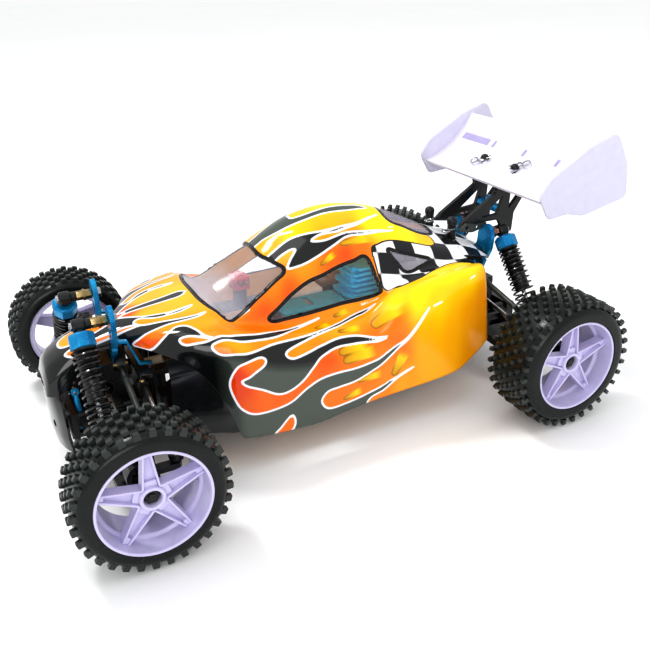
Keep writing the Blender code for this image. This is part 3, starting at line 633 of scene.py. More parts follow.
def surface_points(line):
    """The places on the shell of an array of (x, v) points."""
    on_tail = line[:, 0] < TAIL_X
    out = BODY(line[:, 0], line[:, 1])
    if on_tail.any():
        out[on_tail] = TAIL(line[on_tail, 0], np.clip(line[on_tail, 1], -2, 2))
    return out


class Field:
    """Distance in millimetres to a closed curve on the shell, positive inside it."""

    def __init__(self, points, steps=20):
        self.line = curve(points, steps)
        self.kept = np.where((self.line[:, 1] > -0.05) & (self.line[:, 1] < 5.05))[0]
        self.tree = kdtree.KDTree(len(self.kept))
        for i, p in enumerate(surface_points(self.line[self.kept])):
            self.tree.insert(p, i)
        self.tree.balance()

    def __call__(self, x, v, places):
        inside = np.zeros(len(x), bool)
        ends = np.roll(self.line, -1, axis=0)
        for (ax, av), (bx, bv) in zip(self.line, ends):
            if av == bv:
                continue
            crosses = ((av > v) != (bv > v)) & (x < (bx - ax) * (v - av) / (bv - av) + ax)
            inside ^= crosses
        found = [self.tree.find(p) for p in places]
        near = np.array([self.kept[f[1]] for f in found])
        away = np.array([f[2] for f in found])
        return np.where(inside, away, -away), self.line[near]


# Generic hot-rod flames: one dark field with its licks, drawn for the left half and mirrored.
DARK = [
    (176, -0.6), (120, -0.6), (80, -0.3), (80, 0.1), (95, 0.15), (110, 0.17), (119, 0.17), (120, 0.32),
    (109, 0.83), (96, 0.9), (84, 0.72), (80, 0.72), (84, 0.84), (92, 1.05), (103, 1.22), (111, 0.99),
    (114.5, 1.18), (114, 1.6), (110, 1.9), (99, 1.75), (88, 1.58), (76, 1.32), (82, 1.68), (92, 1.95),
    (98, 2.12), (104, 2.43), (109, 2.77), (113, 3.17), (116.5, 3.8), (119, 4.7), (116, 5.0),
    (112, 4.9), (108, 4.1), (104, 3.4), (99, 2.75), (95, 2.42), (90, 2.38), (86, 2.72), (83, 3.1),
    (79, 3.28), (88, 3.22), (93, 3.3), (96.3, 3.5), (96, 3.8), (93, 3.88), (86, 3.6), (78, 3.28),
    (70, 3.1), (63, 2.9), (50, 2.8), (36, 2.6), (22, 2.3), (6, 2.1), (16, 2.28), (26, 2.53), (40, 2.95),
    (56, 3.12), (68, 3.28), (76, 3.46), (80.5, 3.65), (80, 3.88), (75, 3.92), (62, 3.62), (48, 3.28),
    (32, 3.06), (16, 2.86), (-2, 2.54), (-20, 2.34), (-31, 2.6), (-16, 2.55), (0, 2.74), (20, 3.06),
    (34, 3.35), (38.5, 3.52), (35, 3.63), (26, 3.52), (14, 3.34), (2, 3.2), (-8, 3.28), (-18, 3.58),
    (-29, 3.98), (-18, 3.74), (-8, 3.56), (4, 3.5), (16, 3.68), (22, 3.88), (30, 4.14), (38, 4.3),
    (46, 4.36), (56, 4.31), (68, 4.29), (62, 4.12), (54, 3.86), (52, 3.7), (55, 3.66), (62, 3.84),
    (70, 4.1), (74, 4.36), (74.4, 4.54), (71, 4.62), (62, 4.67), (50, 4.61), (38, 4.5), (28, 4.3),
    (18, 4.18), (4, 4.16), (-12, 4.2), (-26, 4.25), (-40, 4.33), (-51, 4.26), (-61, 4.13),
    (-54, 4.26), (-44, 4.36), (-32, 4.38), (-20, 4.39), (-6, 4.45), (6, 4.46), (14, 4.47), (18.2, 4.6),
    (15, 4.76), (8, 4.82), (-6, 4.82), (-24, 4.78), (-49, 4.74), (-36, 4.79), (-26, 4.87), (-14, 4.98),
    (-8, 5.6), (60, 5.7), (176, 5.7),
]
SPARK = [(50, 5.02), (46, 4.92), (42, 4.81), (38.5, 4.74), (36.6, 4.82), (37, 4.93), (40, 5.02)]
NOSE_MID = [(157, -0.4), (157, 0.4), (150, 0.75), (140, 0.7), (128, 0.4), (118, 0.1), (118, -0.1),
            (128, -0.4), (140, -0.7), (150, -0.75)]
NOSE_SIDE = [(156, 1.5), (152, 1.2), (144, 1.35), (134, 1.5), (122, 1.62), (112, 1.75), (122, 2.2),
             (134, 2.35), (146, 2.45), (153, 2.2)]
ROOF = [
    (30, 0.6), (24, 0.6), (14, 0.57), (2, 0.63), (-10, 0.68), (-22, 0.67), (-35, 0.56), (-54, 0.33),
    (-40, 0.53), (-28, 0.68), (-18, 0.76), (-6, 0.74), (0.5, 0.8), (-8, 0.86), (-20, 0.82), (-36, 0.73),
    (-60, 0.67), (-42, 0.76), (-26, 0.86), (-12, 1.01), (0, 1.11), (10, 1.15), (20, 1.1), (18, 0.98),
    (14, 0.88), (12, 0.82), (15, 0.78), (21, 0.78), (28, 0.8), (31, 0.7),
]
CROWN = [(34, -0.3), (34, 0.12), (26, 0.18), (15, 0.27), (2, 0.33), (-12, 0.32), (-27, 0.31),
         (-48, 0.18), (-40, 0.1), (-24, 0.14), (-10, 0.17), (2, 0.16), (6, 0.06), (4, -0.2), (20, -0.3)]
SCREEN_EDGE = [(33.6, 0.2), (32.4, 0.44), (29.6, 0.64), (26.2, 0.86), (23.4, 1.02), (23.6, 1.1), (26, 1.12),
               (37, 1.1), (48.5, 1.09), (56, 1.09), (60, 1.12), (64.5, 1.24), (67.5, 1.24), (71, 1.0),
               (73.4, 0.6), (74, 0.3)]
WINDSCREEN = both_sides(SCREEN_EDGE)
SIDE_WINDOW = [(37, 1.84), (36.5, 1.98), (29, 1.95), (16, 1.92), (2, 1.89), (-12, 1.88), (-26, 1.94),
               (-38.5, 2.06), (-37.5, 1.66), (-33, 1.27), (-24, 1.32), (-12, 1.36), (-2, 1.41),
               (8, 1.44), (16, 1.5), (25, 1.61)]
QUARTER = [(-50.5, 1.16), (-58, 1.27), (-68, 1.4), (-78, 1.58), (-79, 1.7), (-71, 1.88), (-64, 2.0),
           (-60, 1.9), (-56, 1.55)]
REAR_WINDOW = [(-60, -0.36), (-60, 0.36), (-72, 0.5), (-84, 0.58), (-93, 0.5), (-95, 0.3),
               (-95, -0.3), (-93, -0.5), (-84, -0.58), (-72, -0.5)]
CHEQUER = [
    (-38, 1.1), (-44, 0.98), (-52, 0.9), (-62, 0.9), (-76, 0.95), (-84, 1.0), (-89, 0.9), (-89, 0.66),
    (-82, 0.52), (-72, 0.4), (-62, 0.2), (-58, -0.4), (-140, -0.6), (-140, 3), (-109, 3.2), (-104, 2.95),
    (-98, 2.6), (-90, 2.45), (-82, 2.6), (-74, 2.85), (-66, 3.05), (-56, 3.1), (-47, 2.9), (-43, 2.5),
    (-41.5, 2.1), (-39.5, 1.6),
]
# Yellow drops that stand out of the flames: (x, v) of each end, then the radius.
DROPS = [(12, 2.6, 2, 2.48, 2.3), (0, 2.97, -14, 3.12, 1.7), (-24, 3.32, -41, 3.6, 4.4),
         (-4, 2.16, -14, 2.12, 1.7), (2, 3.67, -16, 3.68, 3.6), (0, 3.92, -20, 3.98, 3.6),
         (-8, 4.47, -24, 4.55, 2.2), (2, 4.72, -10, 4.68, 2.0), (-34, 4.68, -41, 4.5, 3.6),
         (-19, 1.0, -42, 0.84, 2.6), (-2, 1.24, -12, 1.14, 1.7)]
# Thin white streaks of painted highlight, listed the same way.
PAINTED_HIGHLIGHTS = [(62, 1.27, 50, 1.23, 0.7), (96, 1.0, 84, 0.74, 0.9),
          (-24, 2.1, -35, 2.38, 0.8), (-94, 3.98, -99, 3.93, 0.6), (-64, 4.15, -71, 4.15, 0.7),
          (16, 0.36, 9, 0.46, 0.9), (-58, 0.6, -62, 0.58, 0.5)]
# Paint tones over the flames: (x, v, sRGB).
TONES = [
    (150, 0.6, (255, 160, 0)), (150, 2, (250, 110, 0)), (104, 0.6, (255, 185, 0)),
    (82, 0.4, (255, 190, 0)), (88, 2.4, (255, 165, 0)), (73, 2.8, (255, 140, 0)), (54, 2.4, (255, 105, 0)),
    (79, 2.2, (255, 165, 0)), (76, 0.6, (255, 172, 0)), (30, 1.2, (255, 140, 0)), (20, 1.4, (255, 95, 0)),
    (42, 1.6, (255, 98, 0)), (18, 1.9, (255, 122, 0)), (22, 1.6, (250, 80, 0)), (12, 1.2, (255, 150, 0)),
    (-8, 1.2, (255, 105, 0)), (-19, 1.2, (250, 70, 0)), (-34, 1.0, (255, 105, 0)), (4, 0.5, (255, 200, 0)),
    (10, 0.5, (255, 215, 0)), (-18, 0.5, (255, 185, 0)), (-44, 0.6, (255, 228, 0)),
    (-67, 0.6, (255, 238, 0)), (-84, 0.7, (255, 200, 0)), (24, 0.5, (255, 170, 0)),
    (-20, 0.0, (255, 225, 40)), (0, 2.2, (255, 145, 0)), (-23, 2.1, (255, 150, 0)),
    (-39, 3.4, (255, 225, 0)), (-34, 3.9, (255, 118, 0)), (-21, 3.6, (255, 108, 0)),
    (-54, 3.9, (255, 240, 0)), (66, 3.5, (255, 175, 0)), (46, 3.1, (255, 150, 0)), (18, 2.7, (255, 155, 0)),
    (-12, 2.2, (255, 165, 0)), (29, 3.4, (255, 155, 0)), (-1, 2.9, (255, 170, 0)), (70, 4.3, (215, 35, 0)),
    (67, 4.4, (225, 55, 0)), (52, 4.5, (250, 98, 0)), (59, 3.9, (255, 125, 0)), (33, 4.3, (255, 108, 0)),
    (14, 3.8, (255, 85, 0)), (-10, 3.8, (255, 108, 0)), (-30, 4.1, (255, 108, 0)), (10, 4.6, (255, 105, 0)),
    (-16, 4.5, (255, 115, 0)), (-34, 4.7, (255, 115, 0)), (-37, 4.4, (255, 110, 0)),
    (-61, 4.6, (252, 178, 0)), (-69, 4.1, (255, 215, 0)), (-80, 3.6, (255, 240, 0)),
    (-94, 3.9, (255, 225, 0)), (-93, 4.5, (245, 160, 0)), (-102, 4.4, (235, 150, 0)),
    (-77, 4.6, (248, 170, 0)), (-94, 4.9, (230, 145, 0)), (-38, 4.9, (250, 165, 0)),
    (-27, 5.0, (255, 118, 0)), (112, 3.9, (225, 40, 0)), (106, 3.0, (250, 105, 0)),
    (101, 2.5, (255, 150, 0)), (118, 0.3, (230, 60, 0)),
]
FAR = 9.0                         # millimetres, outside every drop and gleam
NO_PANE = -99.0                   # the depth of a point far outside every window


def across_mm(sheet, x, v):
    """Distance along the section from the centre line."""
    total, last = np.zeros(len(x)), sheet(x, np.zeros(len(x)))
    for i in range(1, 41):
        here = sheet(x, v * i / 40)
        total += np.linalg.norm(here - last, axis=1)
        last = here
    return total


def paint(x, v, places):
    """Distances to the painted shapes at points of the left half, and the flame's tint there."""
    dark = Field(DARK)(x, v, places)[0]
    for shape in (ROOF, CROWN):
        dark = np.maximum(dark, Field(shape)(x, v, places)[0])
    for shape in (SPARK, NOSE_MID, NOSE_SIDE):
        dark = np.minimum(dark, -Field(shape)(x, v, places)[0])
    painted_highlight, drop, fall = np.full(len(x), FAR), np.full(len(x), FAR), np.zeros(len(x))
    # White streaks of painted highlight, standing in for reflections of the lights.
    for x0, v0, x1, v1, r in PAINTED_HIGHLIGHTS:
        painted_highlight = np.minimum(painted_highlight, capsule(places, x0, v0, x1, v1)[0] - r)
    for x0, v0, x1, v1, r in DROPS:
        away, share = capsule(places, x0, v0, x1, v1)
        away -= 1.25 * r * (0.65 + 0.35 * share)
        nearer = away < drop
        drop, fall = np.where(nearer, away, drop), np.where(nearer, share, fall)
    tones = np.array([srgb(*c)[:3] for _, _, c in TONES])
    spots = np.array([(a, b) for a, b, _ in TONES], float)
    far = ((x[:, None] - spots[:, 0]) / 9) ** 2 + ((v[:, None] - spots[:, 1]) * V_SCALE / 7) ** 2
    weight = 1 / (far + 0.35) ** 1.6
    tint = (weight @ tones) / weight.sum(1)[:, None]
    return {"dark": dark, "painted_highlight": painted_highlight, "drop": drop, "fall": fall,
            "cheq": Field(CHEQUER)(x, v, places)[0]}, tint


def capsule(places, x0, v0, x1, v1):
    """Distance to a line between two points of the shell, and how far along it the nearest part is."""
    a, b = surface_points(np.array([(x0, v0), (x1, v1)], float))
    line = b - a
    share = np.clip((places - a) @ line / (line @ line), 0, 1)
    return np.linalg.norm(places - a - share[:, None] * line, axis=1), share


def post_hole(places):
    """Distance to the edge of the nearer body post's hole, positive inside it."""
    return POST_HOLE_R - np.hypot(places[:, 0] - POST_X, np.abs(places[:, 1]) - POST_Y)


WINDOWS = {"windscreen": WINDSCREEN, "side_window": SIDE_WINDOW, "quarter_window": QUARTER,
           "rear_window": REAR_WINDOW}


def nearest_window(gx, gv, places, fields):
    """How deep each point lies inside the nearest window, the window's number and edge point."""
    pane, which, spots = np.full(len(gx), NO_PANE), np.zeros(len(gx), int), np.stack([gx, gv], axis=1)
    for i, field in enumerate(fields, 1):
        away, near = field(gx, gv, places)
        better = away > pane
        pane[better], which[better], spots[better] = away[better], i, near[better]
    return pane, which, spots


def half_sheet(sheet, xs, vs):
    """Points of the left half with the window edges snapped onto the grid, and their fields."""
    gx, gv = (g.ravel() for g in np.meshgrid(xs, vs, indexing="ij"))
    fields = [Field(shape, 24) for shape in WINDOWS.values()]
    pane, which, spots = nearest_window(gx, gv, sheet(gx, gv), fields)
    close = (np.abs(pane) < 0.62) & (gv > 0.01) & (gv < vs[-1] - 0.01)
    inner = (gx > xs[0] + 0.01) & (gx < xs[-1] - 0.01)
    snap = close & inner & (np.abs(spots[:, 0] - gx) < 1.1)
    gx[snap], gv[snap] = spots[snap, 0], spots[snap, 1]
    places = sheet(gx, gv)
    pane, which, _ = nearest_window(gx, gv, places, fields)
    pane[np.abs(pane) < 0.02] = 0.0
    extra, tint = paint(gx, gv, places)
    extra["pane"] = pane
    extra["across"] = across_mm(sheet, gx, gv)
    extra["along"], extra["row"] = gx, gv
    return places, len(xs), len(vs), extra, tint, which


def sheet_mesh(name, halves, keep):
    """One mesh of both halves of the sheets, with the quads that keep() says."""
    verts, faces, fields, tints, base = [], [], {}, [], 0
    for places, rows, cols, extra, tint, which in halves:
        index = np.arange(rows * cols).reshape(rows, cols)
        quads = np.stack([index[:-1, :-1], index[1:, :-1], index[1:, 1:], index[:-1, 1:]],
                         axis=-1).reshape(-1, 4)
        kept = quads[keep(places[quads].mean(1), extra["pane"][quads].mean(1),
                          np.median(which[quads], axis=1))]
        for side in (1, -1):
            verts.append(places * np.array([1, side, 1]))
            faces.append((kept if side > 0 else kept[:, ::-1]) + base)
            base += len(places)
            tints.append(tint)
            for key, value in extra.items():
                fields.setdefault(key, []).append(value)
    verts, faces = np.concatenate(verts), np.concatenate(faces)
    used = np.unique(faces)
    renumber = np.zeros(len(verts), int)
    renumber[used] = np.arange(len(used))
    mesh = bpy.data.meshes.new(name)
    points = (verts[used] + np.array([X_SHIFT, 0, 0])) * MM
    mesh.from_pydata(points.tolist(), [], renumber[faces].tolist())
    for key, value in fields.items():
        made = mesh.attributes.new(key, "FLOAT", "POINT")
        made.data.foreach_set("value", np.concatenate(value)[used].astype(np.float32))
    made = mesh.attributes.new("tint", "FLOAT_COLOR", "POINT")
    colours = np.concatenate(tints)[used]
    made.data.foreach_set("color", np.concatenate([colours, np.ones((len(used), 1))], axis=1)
                          .astype(np.float32).ravel())
    work = bmesh.new()
    work.from_mesh(mesh)
    bmesh.ops.remove_doubles(work, verts=work.verts, dist=0.00002)
    loose = [v for v in work.verts if not v.link_faces]
    bmesh.ops.delete(work, geom=loose, context="VERTS")
    work.to_mesh(mesh)
    work.free()
    return mesh


CHECK = 14.0                      # one square of the chequers


def shell_paint():
    """Gloss paint: flames over black, white and silver outlines, chequers and drops, with painted highlight
    streaks and a painted grey-green reflection on the black.
    """
    n = Nodes("shell_polycarbonate")
    dark, pane = n.attribute("dark"), n.attribute("pane")
    tint = n.attribute("tint", "Color")
    drift = n.noise(26, 2.0)
    fill = n.mix(n.span(drift, 0.35, 0.65, 0.0, 0.12), tint, srgb(255, 232, 60))
    drop, fall = n.attribute("drop"), n.attribute("fall")
    body = n.mix(n.span(fall, 0.0, 0.9), srgb(214, 160, 0), srgb(255, 220, 0))
    rim = n.math("MULTIPLY", n.span(drop, -1.6, -0.1, 0, 0.85, True), n.span(fall, 0.55, 0.1))
    body = n.mix(rim, body, srgb(130, 76, 0))
    shown = n.math("MULTIPLY", n.span(drop, -0.5, 0.4, 1, 0, True), n.span(fall, 1.0, 0.7))
    fill = n.mix(shown, fill, body)
    base = n.mix(n.span(n.noise(14, 2.0), 0.3, 0.7), srgb(10, 12, 13), srgb(20, 23, 23))
    row = n.attribute("row")
    # Painted reflection: the black paint turns grey-green low on the sides and along the roof's crown, fully
    # behind x = 66 and fading out by x = 82.
    painted_sheen = n.math("MAXIMUM", n.span(row, 3.72, 3.98), n.span(row, 0.62, 0.4))
    painted_sheen = n.math("MULTIPLY", painted_sheen, n.span(n.attribute("along"), 82, 66))
    base = n.mix(painted_sheen, base, srgb(74, 84, 76))
    colour = n.mix(n.span(dark, -0.1, 0.1), fill, base)
    silver = n.span(dark, 1.15, 0.8)
    colour = n.mix(n.math("MULTIPLY", silver, n.span(dark, -0.1, 0.1)), colour, srgb(120, 122, 128))
    line = n.span(n.math("ABSOLUTE", n.math("ADD", dark, -0.05)), 0.6, 0.8, 1, 0)
    colour = n.mix(line, colour, srgb(240, 240, 246))
    across, along = n.attribute("across"), n.attribute("along")
    waves = [n.math("SINE", n.math("MULTIPLY", n.math("ADD", v, shift), math.pi / CHECK))
             for v, shift in ((across, 1.5), (along, 0.0))]
    cells = n.span(n.math("MULTIPLY", *waves), -0.03, 0.03)
    squares = n.mix(cells, srgb(30, 31, 34), srgb(240, 240, 244))
    squares = n.mix(n.span(n.attribute("cheq"), 0.9, 1.1, 1, 0), squares, srgb(26, 27, 29))
    colour = n.mix(n.span(n.attribute("cheq"), -0.1, 0.1), colour, squares)
    # Painted highlight: white streaks where the lights would reflect on the shell.
    colour = n.mix(n.span(n.attribute("painted_highlight"), -0.2, 0.25, 1, 0), colour, srgb(255, 252, 244))
    border = n.span(pane, -2.0, -1.8)
    colour = n.mix(border, colour, srgb(16, 17, 20))
    n.link(colour, n.shader.inputs["Base Color"])
    n.link(n.span(n.noise(700, 2.0), 0.3, 0.7, 0.1, 0.17), n.shader.inputs["Roughness"])
    n.link(n.span(dark, 0.4, 0.9, 0.1, 0.5), n.shader.inputs["Coat Weight"])
    n.shader.inputs["Coat Roughness"].default_value = 0.04
    n.shader.inputs["Specular IOR Level"].default_value = 0.4
    n.bump(n.noise(240, 1.0), 0.03)
    return n.material


LINING = look("shell_lining", (236, 168, 34), (250, 190, 56), (0.3, 0.45), scale=40)
# The paint lets daylight through, so the inside of the shell glows amber: this glow is painted light, an
# emission on the lining.
glow = LINING.node_tree.nodes["Principled BSDF"].inputs
glow["Emission Color"].default_value = srgb(255, 176, 10)
glow["Emission Strength"].default_value = 0.2


def clear_pane(name, colour, alpha, haze=0.0):
    """A clear sheet whose painted black edge hides where it meets the shell."""
    n = Nodes(name)
    edge = n.span(n.attribute("pane"), 0.5, 0.7, 1, 0)
    tone = n.mix(n.noise(40, 2.0), colour, srgb(232, 232, 240))
    n.link(n.mix(edge, tone, srgb(12, 13, 15)), n.shader.inputs["Base Color"])
    n.link(n.span(n.noise(20, 1.0), 0.3, 0.7, 0.1, 0.16), n.shader.inputs["Roughness"])
    veil = n.span(n.attribute("along"), 48, 74, alpha, alpha + haze)
    n.link(n.math("MAXIMUM", edge, veil), n.shader.inputs["Alpha"])
    return n.material


SPANS = (30, 34, 15, 20, 44)      # grid steps between the section points
xs_body = np.concatenate([np.arange(-108, 168, 2.0), np.linspace(168, 170.5, 4)])
vs_body = np.concatenate([i + np.arange(count) / count for i, count in enumerate(SPANS)] + [[5.0]])
vs_tail = vs_body[vs_body <= 2.0001]
halves = [half_sheet(BODY, xs_body, vs_body), half_sheet(TAIL, np.linspace(-134.5, -108, 15), vs_tail)]


def on_shell(middle, pane, _):
    """The faces outside every window and post hole."""
    return (pane < 0) & (post_hole(middle) < 0)


def sheet_piece(name, mesh, materials, replaces=()):
    """Thickens a sheet inwards, its inside in the last material, and rides it on the chassis."""
    made = bpy.data.objects.new(name, mesh)
    bpy.context.scene.collection.objects.link(made)
    for material in materials:
        mesh.materials.append(material)
    step = made.modifiers.new("thickness", "SOLIDIFY")
    step.thickness, step.offset = SKIN_THICKNESS * MM, -1
    step.material_offset = len(materials) - 1
    step.use_quality_normals = True
    mesh.shade_smooth()
    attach(made, "chassis")
    if replaces:
        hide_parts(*replaces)


sheet_piece("painted_shell", sheet_mesh("painted_shell", halves, on_shell), [shell_paint(), LINING],
            ["body_shell"])
CLEAR = clear_pane("clear_pane", srgb(215, 220, 226), 0.05)
HAZY = clear_pane("hazy_pane", srgb(196, 198, 220), 0.16, 0.3)
SMOKE = clear_pane("smoked_pane", srgb(170, 166, 196), 0.3)
for number, (name, glass) in enumerate(zip(WINDOWS, (HAZY, CLEAR, SMOKE, SMOKE)), 1):
    def on_pane(_, pane, which, number=number):
        return (pane >= 0) & (which == number)

    sheet_piece(name, sheet_mesh(name, halves, on_pane), [glass])


# ---- carried-over CAD nodes ----
def dress(name, material):
    """Gives a CAD node its look without touching its mesh."""
    made = bpy.data.objects[name]
    for slot in made.material_slots:
        slot.link = "OBJECT"
        slot.material = material
    soften(made, 0.35)


for material, names in (
        (DECK_BLACK, ("chassis_plate", "upper_deck")), (WRAP, ("battery_pack",)),
        (BLACK, ("front_gearbox", "rear_gearbox", "steering_servo", "servo_saver", "idler_crank")),
        (CAN, ("drive_motor",)), (STEEL, ("motor_pinion",)), (GEAR, ("centre_shaft",))):
    for name in names:
        dress(name, material)
for _, label in SIDES:
    for name in ("front_hub_carrier", "steering_knuckle", "rear_hub", "front_lower_arm",
                 "rear_lower_arm"):
        dress(f"{name}_{label}", BLACK)
    for end in ("front", "rear"):
        dress(f"{end}_drive_shaft_{label}", STEEL)


# ---- shock towers and their posts ----
FRONT_TOWER = [(13, 62.2), (13.2, 72.8), (19, 73), (24.5, 82), (28.4, 93), (29.2, 100), (27.6, 105.4),
               (23.5, 108), (19.5, 106.6), (17.6, 102), (17.6, 77.2), (12, 77.2)]
REAR_TOWER = [(14, 66.2), (17, 78), (25, 92), (26.5, 104), (23.5, 109.5), (16.5, 109.5), (10.7, 103),
              (10.7, 96), (8, 90)]


def mirrored(half):
    """A left outline (y, z) and its mirror image, as one outline."""
    return half + [(-a, b) for a, b in reversed(half)]


def slot_hole(axis, a, b0, b1, radius, low, high):
    """A round-ended hole from b0 to b1."""
    line = [(a + radius * math.cos(t), b1 + radius * math.sin(t))
            for t in np.linspace(0, math.pi, 9)]
    line += [(a + radius * math.cos(t), b0 + radius * math.sin(t))
             for t in np.linspace(math.pi, 2 * math.pi, 9)]
    return prism(axis, line, low, high)


piece("front_tower_plate", [prism("X", rounded(mirrored(FRONT_TOWER), 2.2), 127.4, 130.4)], BLUE,
      "chassis", ["front_shock_tower"], bevel=0.35,
      cuts=[slot_hole("X", s * 22.6, b0, b1, 1.35, 120, 135)
            for s in (1, -1) for b0, b1 in ((79, 80.5), (85, 92.5))])
piece("rear_tower_plate", [prism("X", rounded(mirrored(REAR_TOWER), 3.0), -140, -137)], BLUE,
      "chassis", ["rear_shock_tower"], bevel=0.35,
      cuts=[rod("X", s * 9, 78, 1.8, -145, -130) for s in (1, -1)]
      + [slot_hole("X", s * 19, 84, 91, 1.5, -145, -130) for s in (1, -1)])
PINK = look("rose_brass", (160, 110, 98), (205, 160, 140), (0.18, 0.32), metal=1.0)
for side, label in SIDES:
    collar = lathe("X", *SHOCK_TOP["front"], [(1.8, 140.2), (2.7, 140.2), (3.1, 140.6), (3.1, 143.2),
                                              (2.8, 143.5), (1.8, 143.5)], 24)
    piece(f"front_tower_collar_{label}", [collar], BLACK, "chassis", side=side)
    for end, start, stop, metal in (("front", 130.6, 140.2, BRASS), ("rear", -147.3, -140.2, PINK)):
        a, b = SHOCK_TOP[end]
        middle, half = (start + stop) / 2, (stop - start) / 2
        parts = [lathe("X", a, b, even([(0.5, half), (2.9, half), (3.1, half - 0.4)], middle), 6),
                 lathe("X", a, b, even([(0.5, 0.8), (3.7, 0.8)], middle), 6)]
        piece(f"{end}_tower_post_{label}", parts, metal, "chassis", side=side, bevel=0.15, angle=25)
        if end == "front":
            nut = lathe("X", a, b, [(1.2, start - 5.4), (2.9, start - 5.4), (3.1, start - 5.0),
                                    (3.1, start - 3.3), (1.2, start - 3.3)], 6)
            piece(f"front_tower_nut_{label}", [nut], STEEL, "chassis", side=side, bevel=0.15, angle=25)
BRACE = [(124.6, -5), (124.6, 5), (112, 4), (109.5, 2), (109.5, -2), (112, -4)]
piece("tower_brace", [prism("Z", rounded(BRACE, 1.2), 76, 78.4),
                      prism("X", rounded(mirrored([(4, 76), (6, 78), (6, 84), (4, 90)]), 1.5),
                            123.9, 126.6)],
      BLUE, "chassis", bevel=0.3)


# ---- steering plate and deck tabs ----
LINK_PLATE = both_sides([(119.3, 32.5), (113, 34.5), (82.7, 25)])
LINK_GAP = both_sides([(111.5, 27), (101, 25.5), (101, 13.5), (91, 13.5), (88, 9)])
pins = [rod("Z", TIE_ROD.x, s * TIE_ROD.y, 1.6, 54.5, 62.5, 16) for s in (1, -1)]
piece("steering_link_plate", [prism("Z", rounded(LINK_PLATE, 2.0), 62, 64.6), *pins], DECK_BLACK,
      "steering_plate", ["steering_plate"], bevel=0.3,
      cuts=[prism("Z", rounded(LINK_GAP, 2.0), 60, 70)]
      + [rod("Z", 97.5, s * 20, 1.75, 55, 70) for s in (1, -1)])
TAB = [(127.3, 85.5), (127.3, 83.8), (122.6, 83.0), (116.9, 67.2), (109, 66.2), (109, 67.5),
       (115.9, 68.6), (121.6, 84.4)]
for side, label in SIDES:
    piece(f"deck_tab_{label}", [prism("Y", rounded(TAB, 0.6), 22, 25.5)], BLUE, "chassis",
          side=side, bevel=0.25)


# ---- gearbox covers ----
for end, face, way, top in (("front", 152.0, 1, 60.5), ("rear", -151.0, -1, 64.5)):
    x0, x1 = sorted((face - way * 0.2, face + way * 1.4))
    cover = prism("X", rounded([(-12.2, 38), (12.2, 38), (12.2, top), (-12.2, top)], 3), x0, x1)
    x2, x3 = sorted((face + way * 1.2, face + way * 2.2))
    ribs = [block(x2, x3, y - 0.8, y + 0.8, 40, top - 2) for y in (-6, -2, 2, 6)]
    piece(f"{end}_gearbox_cover", [cover, *ribs], BLACK, "chassis", bevel=0.3)
    screws = [lathe("X", y, z, [(0.7, x2), (1.6, x2), (1.6, x3), (0.7, x3)], 16)
              for y in (-10, 10) for z in (41, top - 3)]
    piece(f"{end}_gearbox_screws", screws, STEEL, "chassis", bevel=0.15)


# ---- links ----
PITCH = 1.2                       # from one thread to the next


def ball_end(at, axis, width):
    """A brass ball held in a moulded cup, on a pin along the axis."""
    a, b, t = (at.y, at.z, at.x) if axis == "X" else (at.x, at.y, at.z)
    radius = 4.0
    ball = [(max(1.7, radius * 0.72 * math.cos(q)), t + radius * 0.72 * math.sin(q))
            for q in np.linspace(-1.1, 1.1, 11)]
    ball = [(1.7, t - width * 0.62), *ball, (1.7, t + width * 0.62)]
    cup = [(radius * 0.74, t - width * 0.36), (radius, t - width * 0.36), (radius + 0.35, t),
           (radius, t + width * 0.36), (radius * 0.74, t + width * 0.36)]
    return lathe(axis, a, b, ball, 24), lathe(axis, a, b, cup, 24)


def link(name, start, stop, axis, width, body, side, rod_r, metal, ends):
    """A threaded rod between two ball ends: its cups ride the link, its balls ride what they join."""
    label = body.rsplit("_", 1)[1]
    step, reach = (stop - start).normalized(), (stop - start).length
    balls, cups = zip(*(ball_end(p, axis, width) for p in (start, stop)))
    necks = [tube([p + way * d for d in (3.4, 5, 14, 15)], [1.7, 2.6, 2.3, 1.9], 16)
             for p, way in ((start, step), (stop, -step))]
    piece(f"{name}_cups_{label}", [*cups, *necks], BLACK, body, [body], side)
    threads = []
    for k in range(int((reach - 28) / PITCH)):
        at = start + step * (14.5 + k * PITCH)
        threads += [(at, rod_r), (at + step * (PITCH / 2), rod_r * 0.93)]
    points, radii = zip(*threads)
    piece(f"{name}_rod_{label}", [tube(points, radii, 14)], metal, body, side=side)
    for ball, place, rider in zip(balls, ("inner", "outer"), ends):
        piece(f"{name}_{place}_ball_{label}", [ball], BRASS, rider, side=side)


for side, label in SIDES:
    for end, low_x, high_x, arm, hub in (
            ("front", 127.1, 128.7, "front_upper_arm", "front_hub_carrier"),
            ("rear", -130.0, -128.5, "rear_upper_link", "rear_hub")):
        y, z = UPPER[end]
        start, stop = Vector((low_x, y, z)), Vector((high_x, y + ARM.y, z + ARM.z))
        link(f"{end}_upper", start, stop, "X", 7.0, f"{arm}_{label}", side, 1.9, GREY,
             ("chassis", f"{hub}_{label}"))
    link("steer", TIE_ROD, TIE_ROD + ARM, "Z", 5.0, f"tie_rod_{label}", side, 1.6, STEEL,
         ("steering_plate", f"steering_knuckle_{label}"))


# ---- front bumper ----
SKIN = [(163.8, 26), (166.0, 23), (167.5, 19), (169, 13), (169.8, 7), (170.1, 0)]


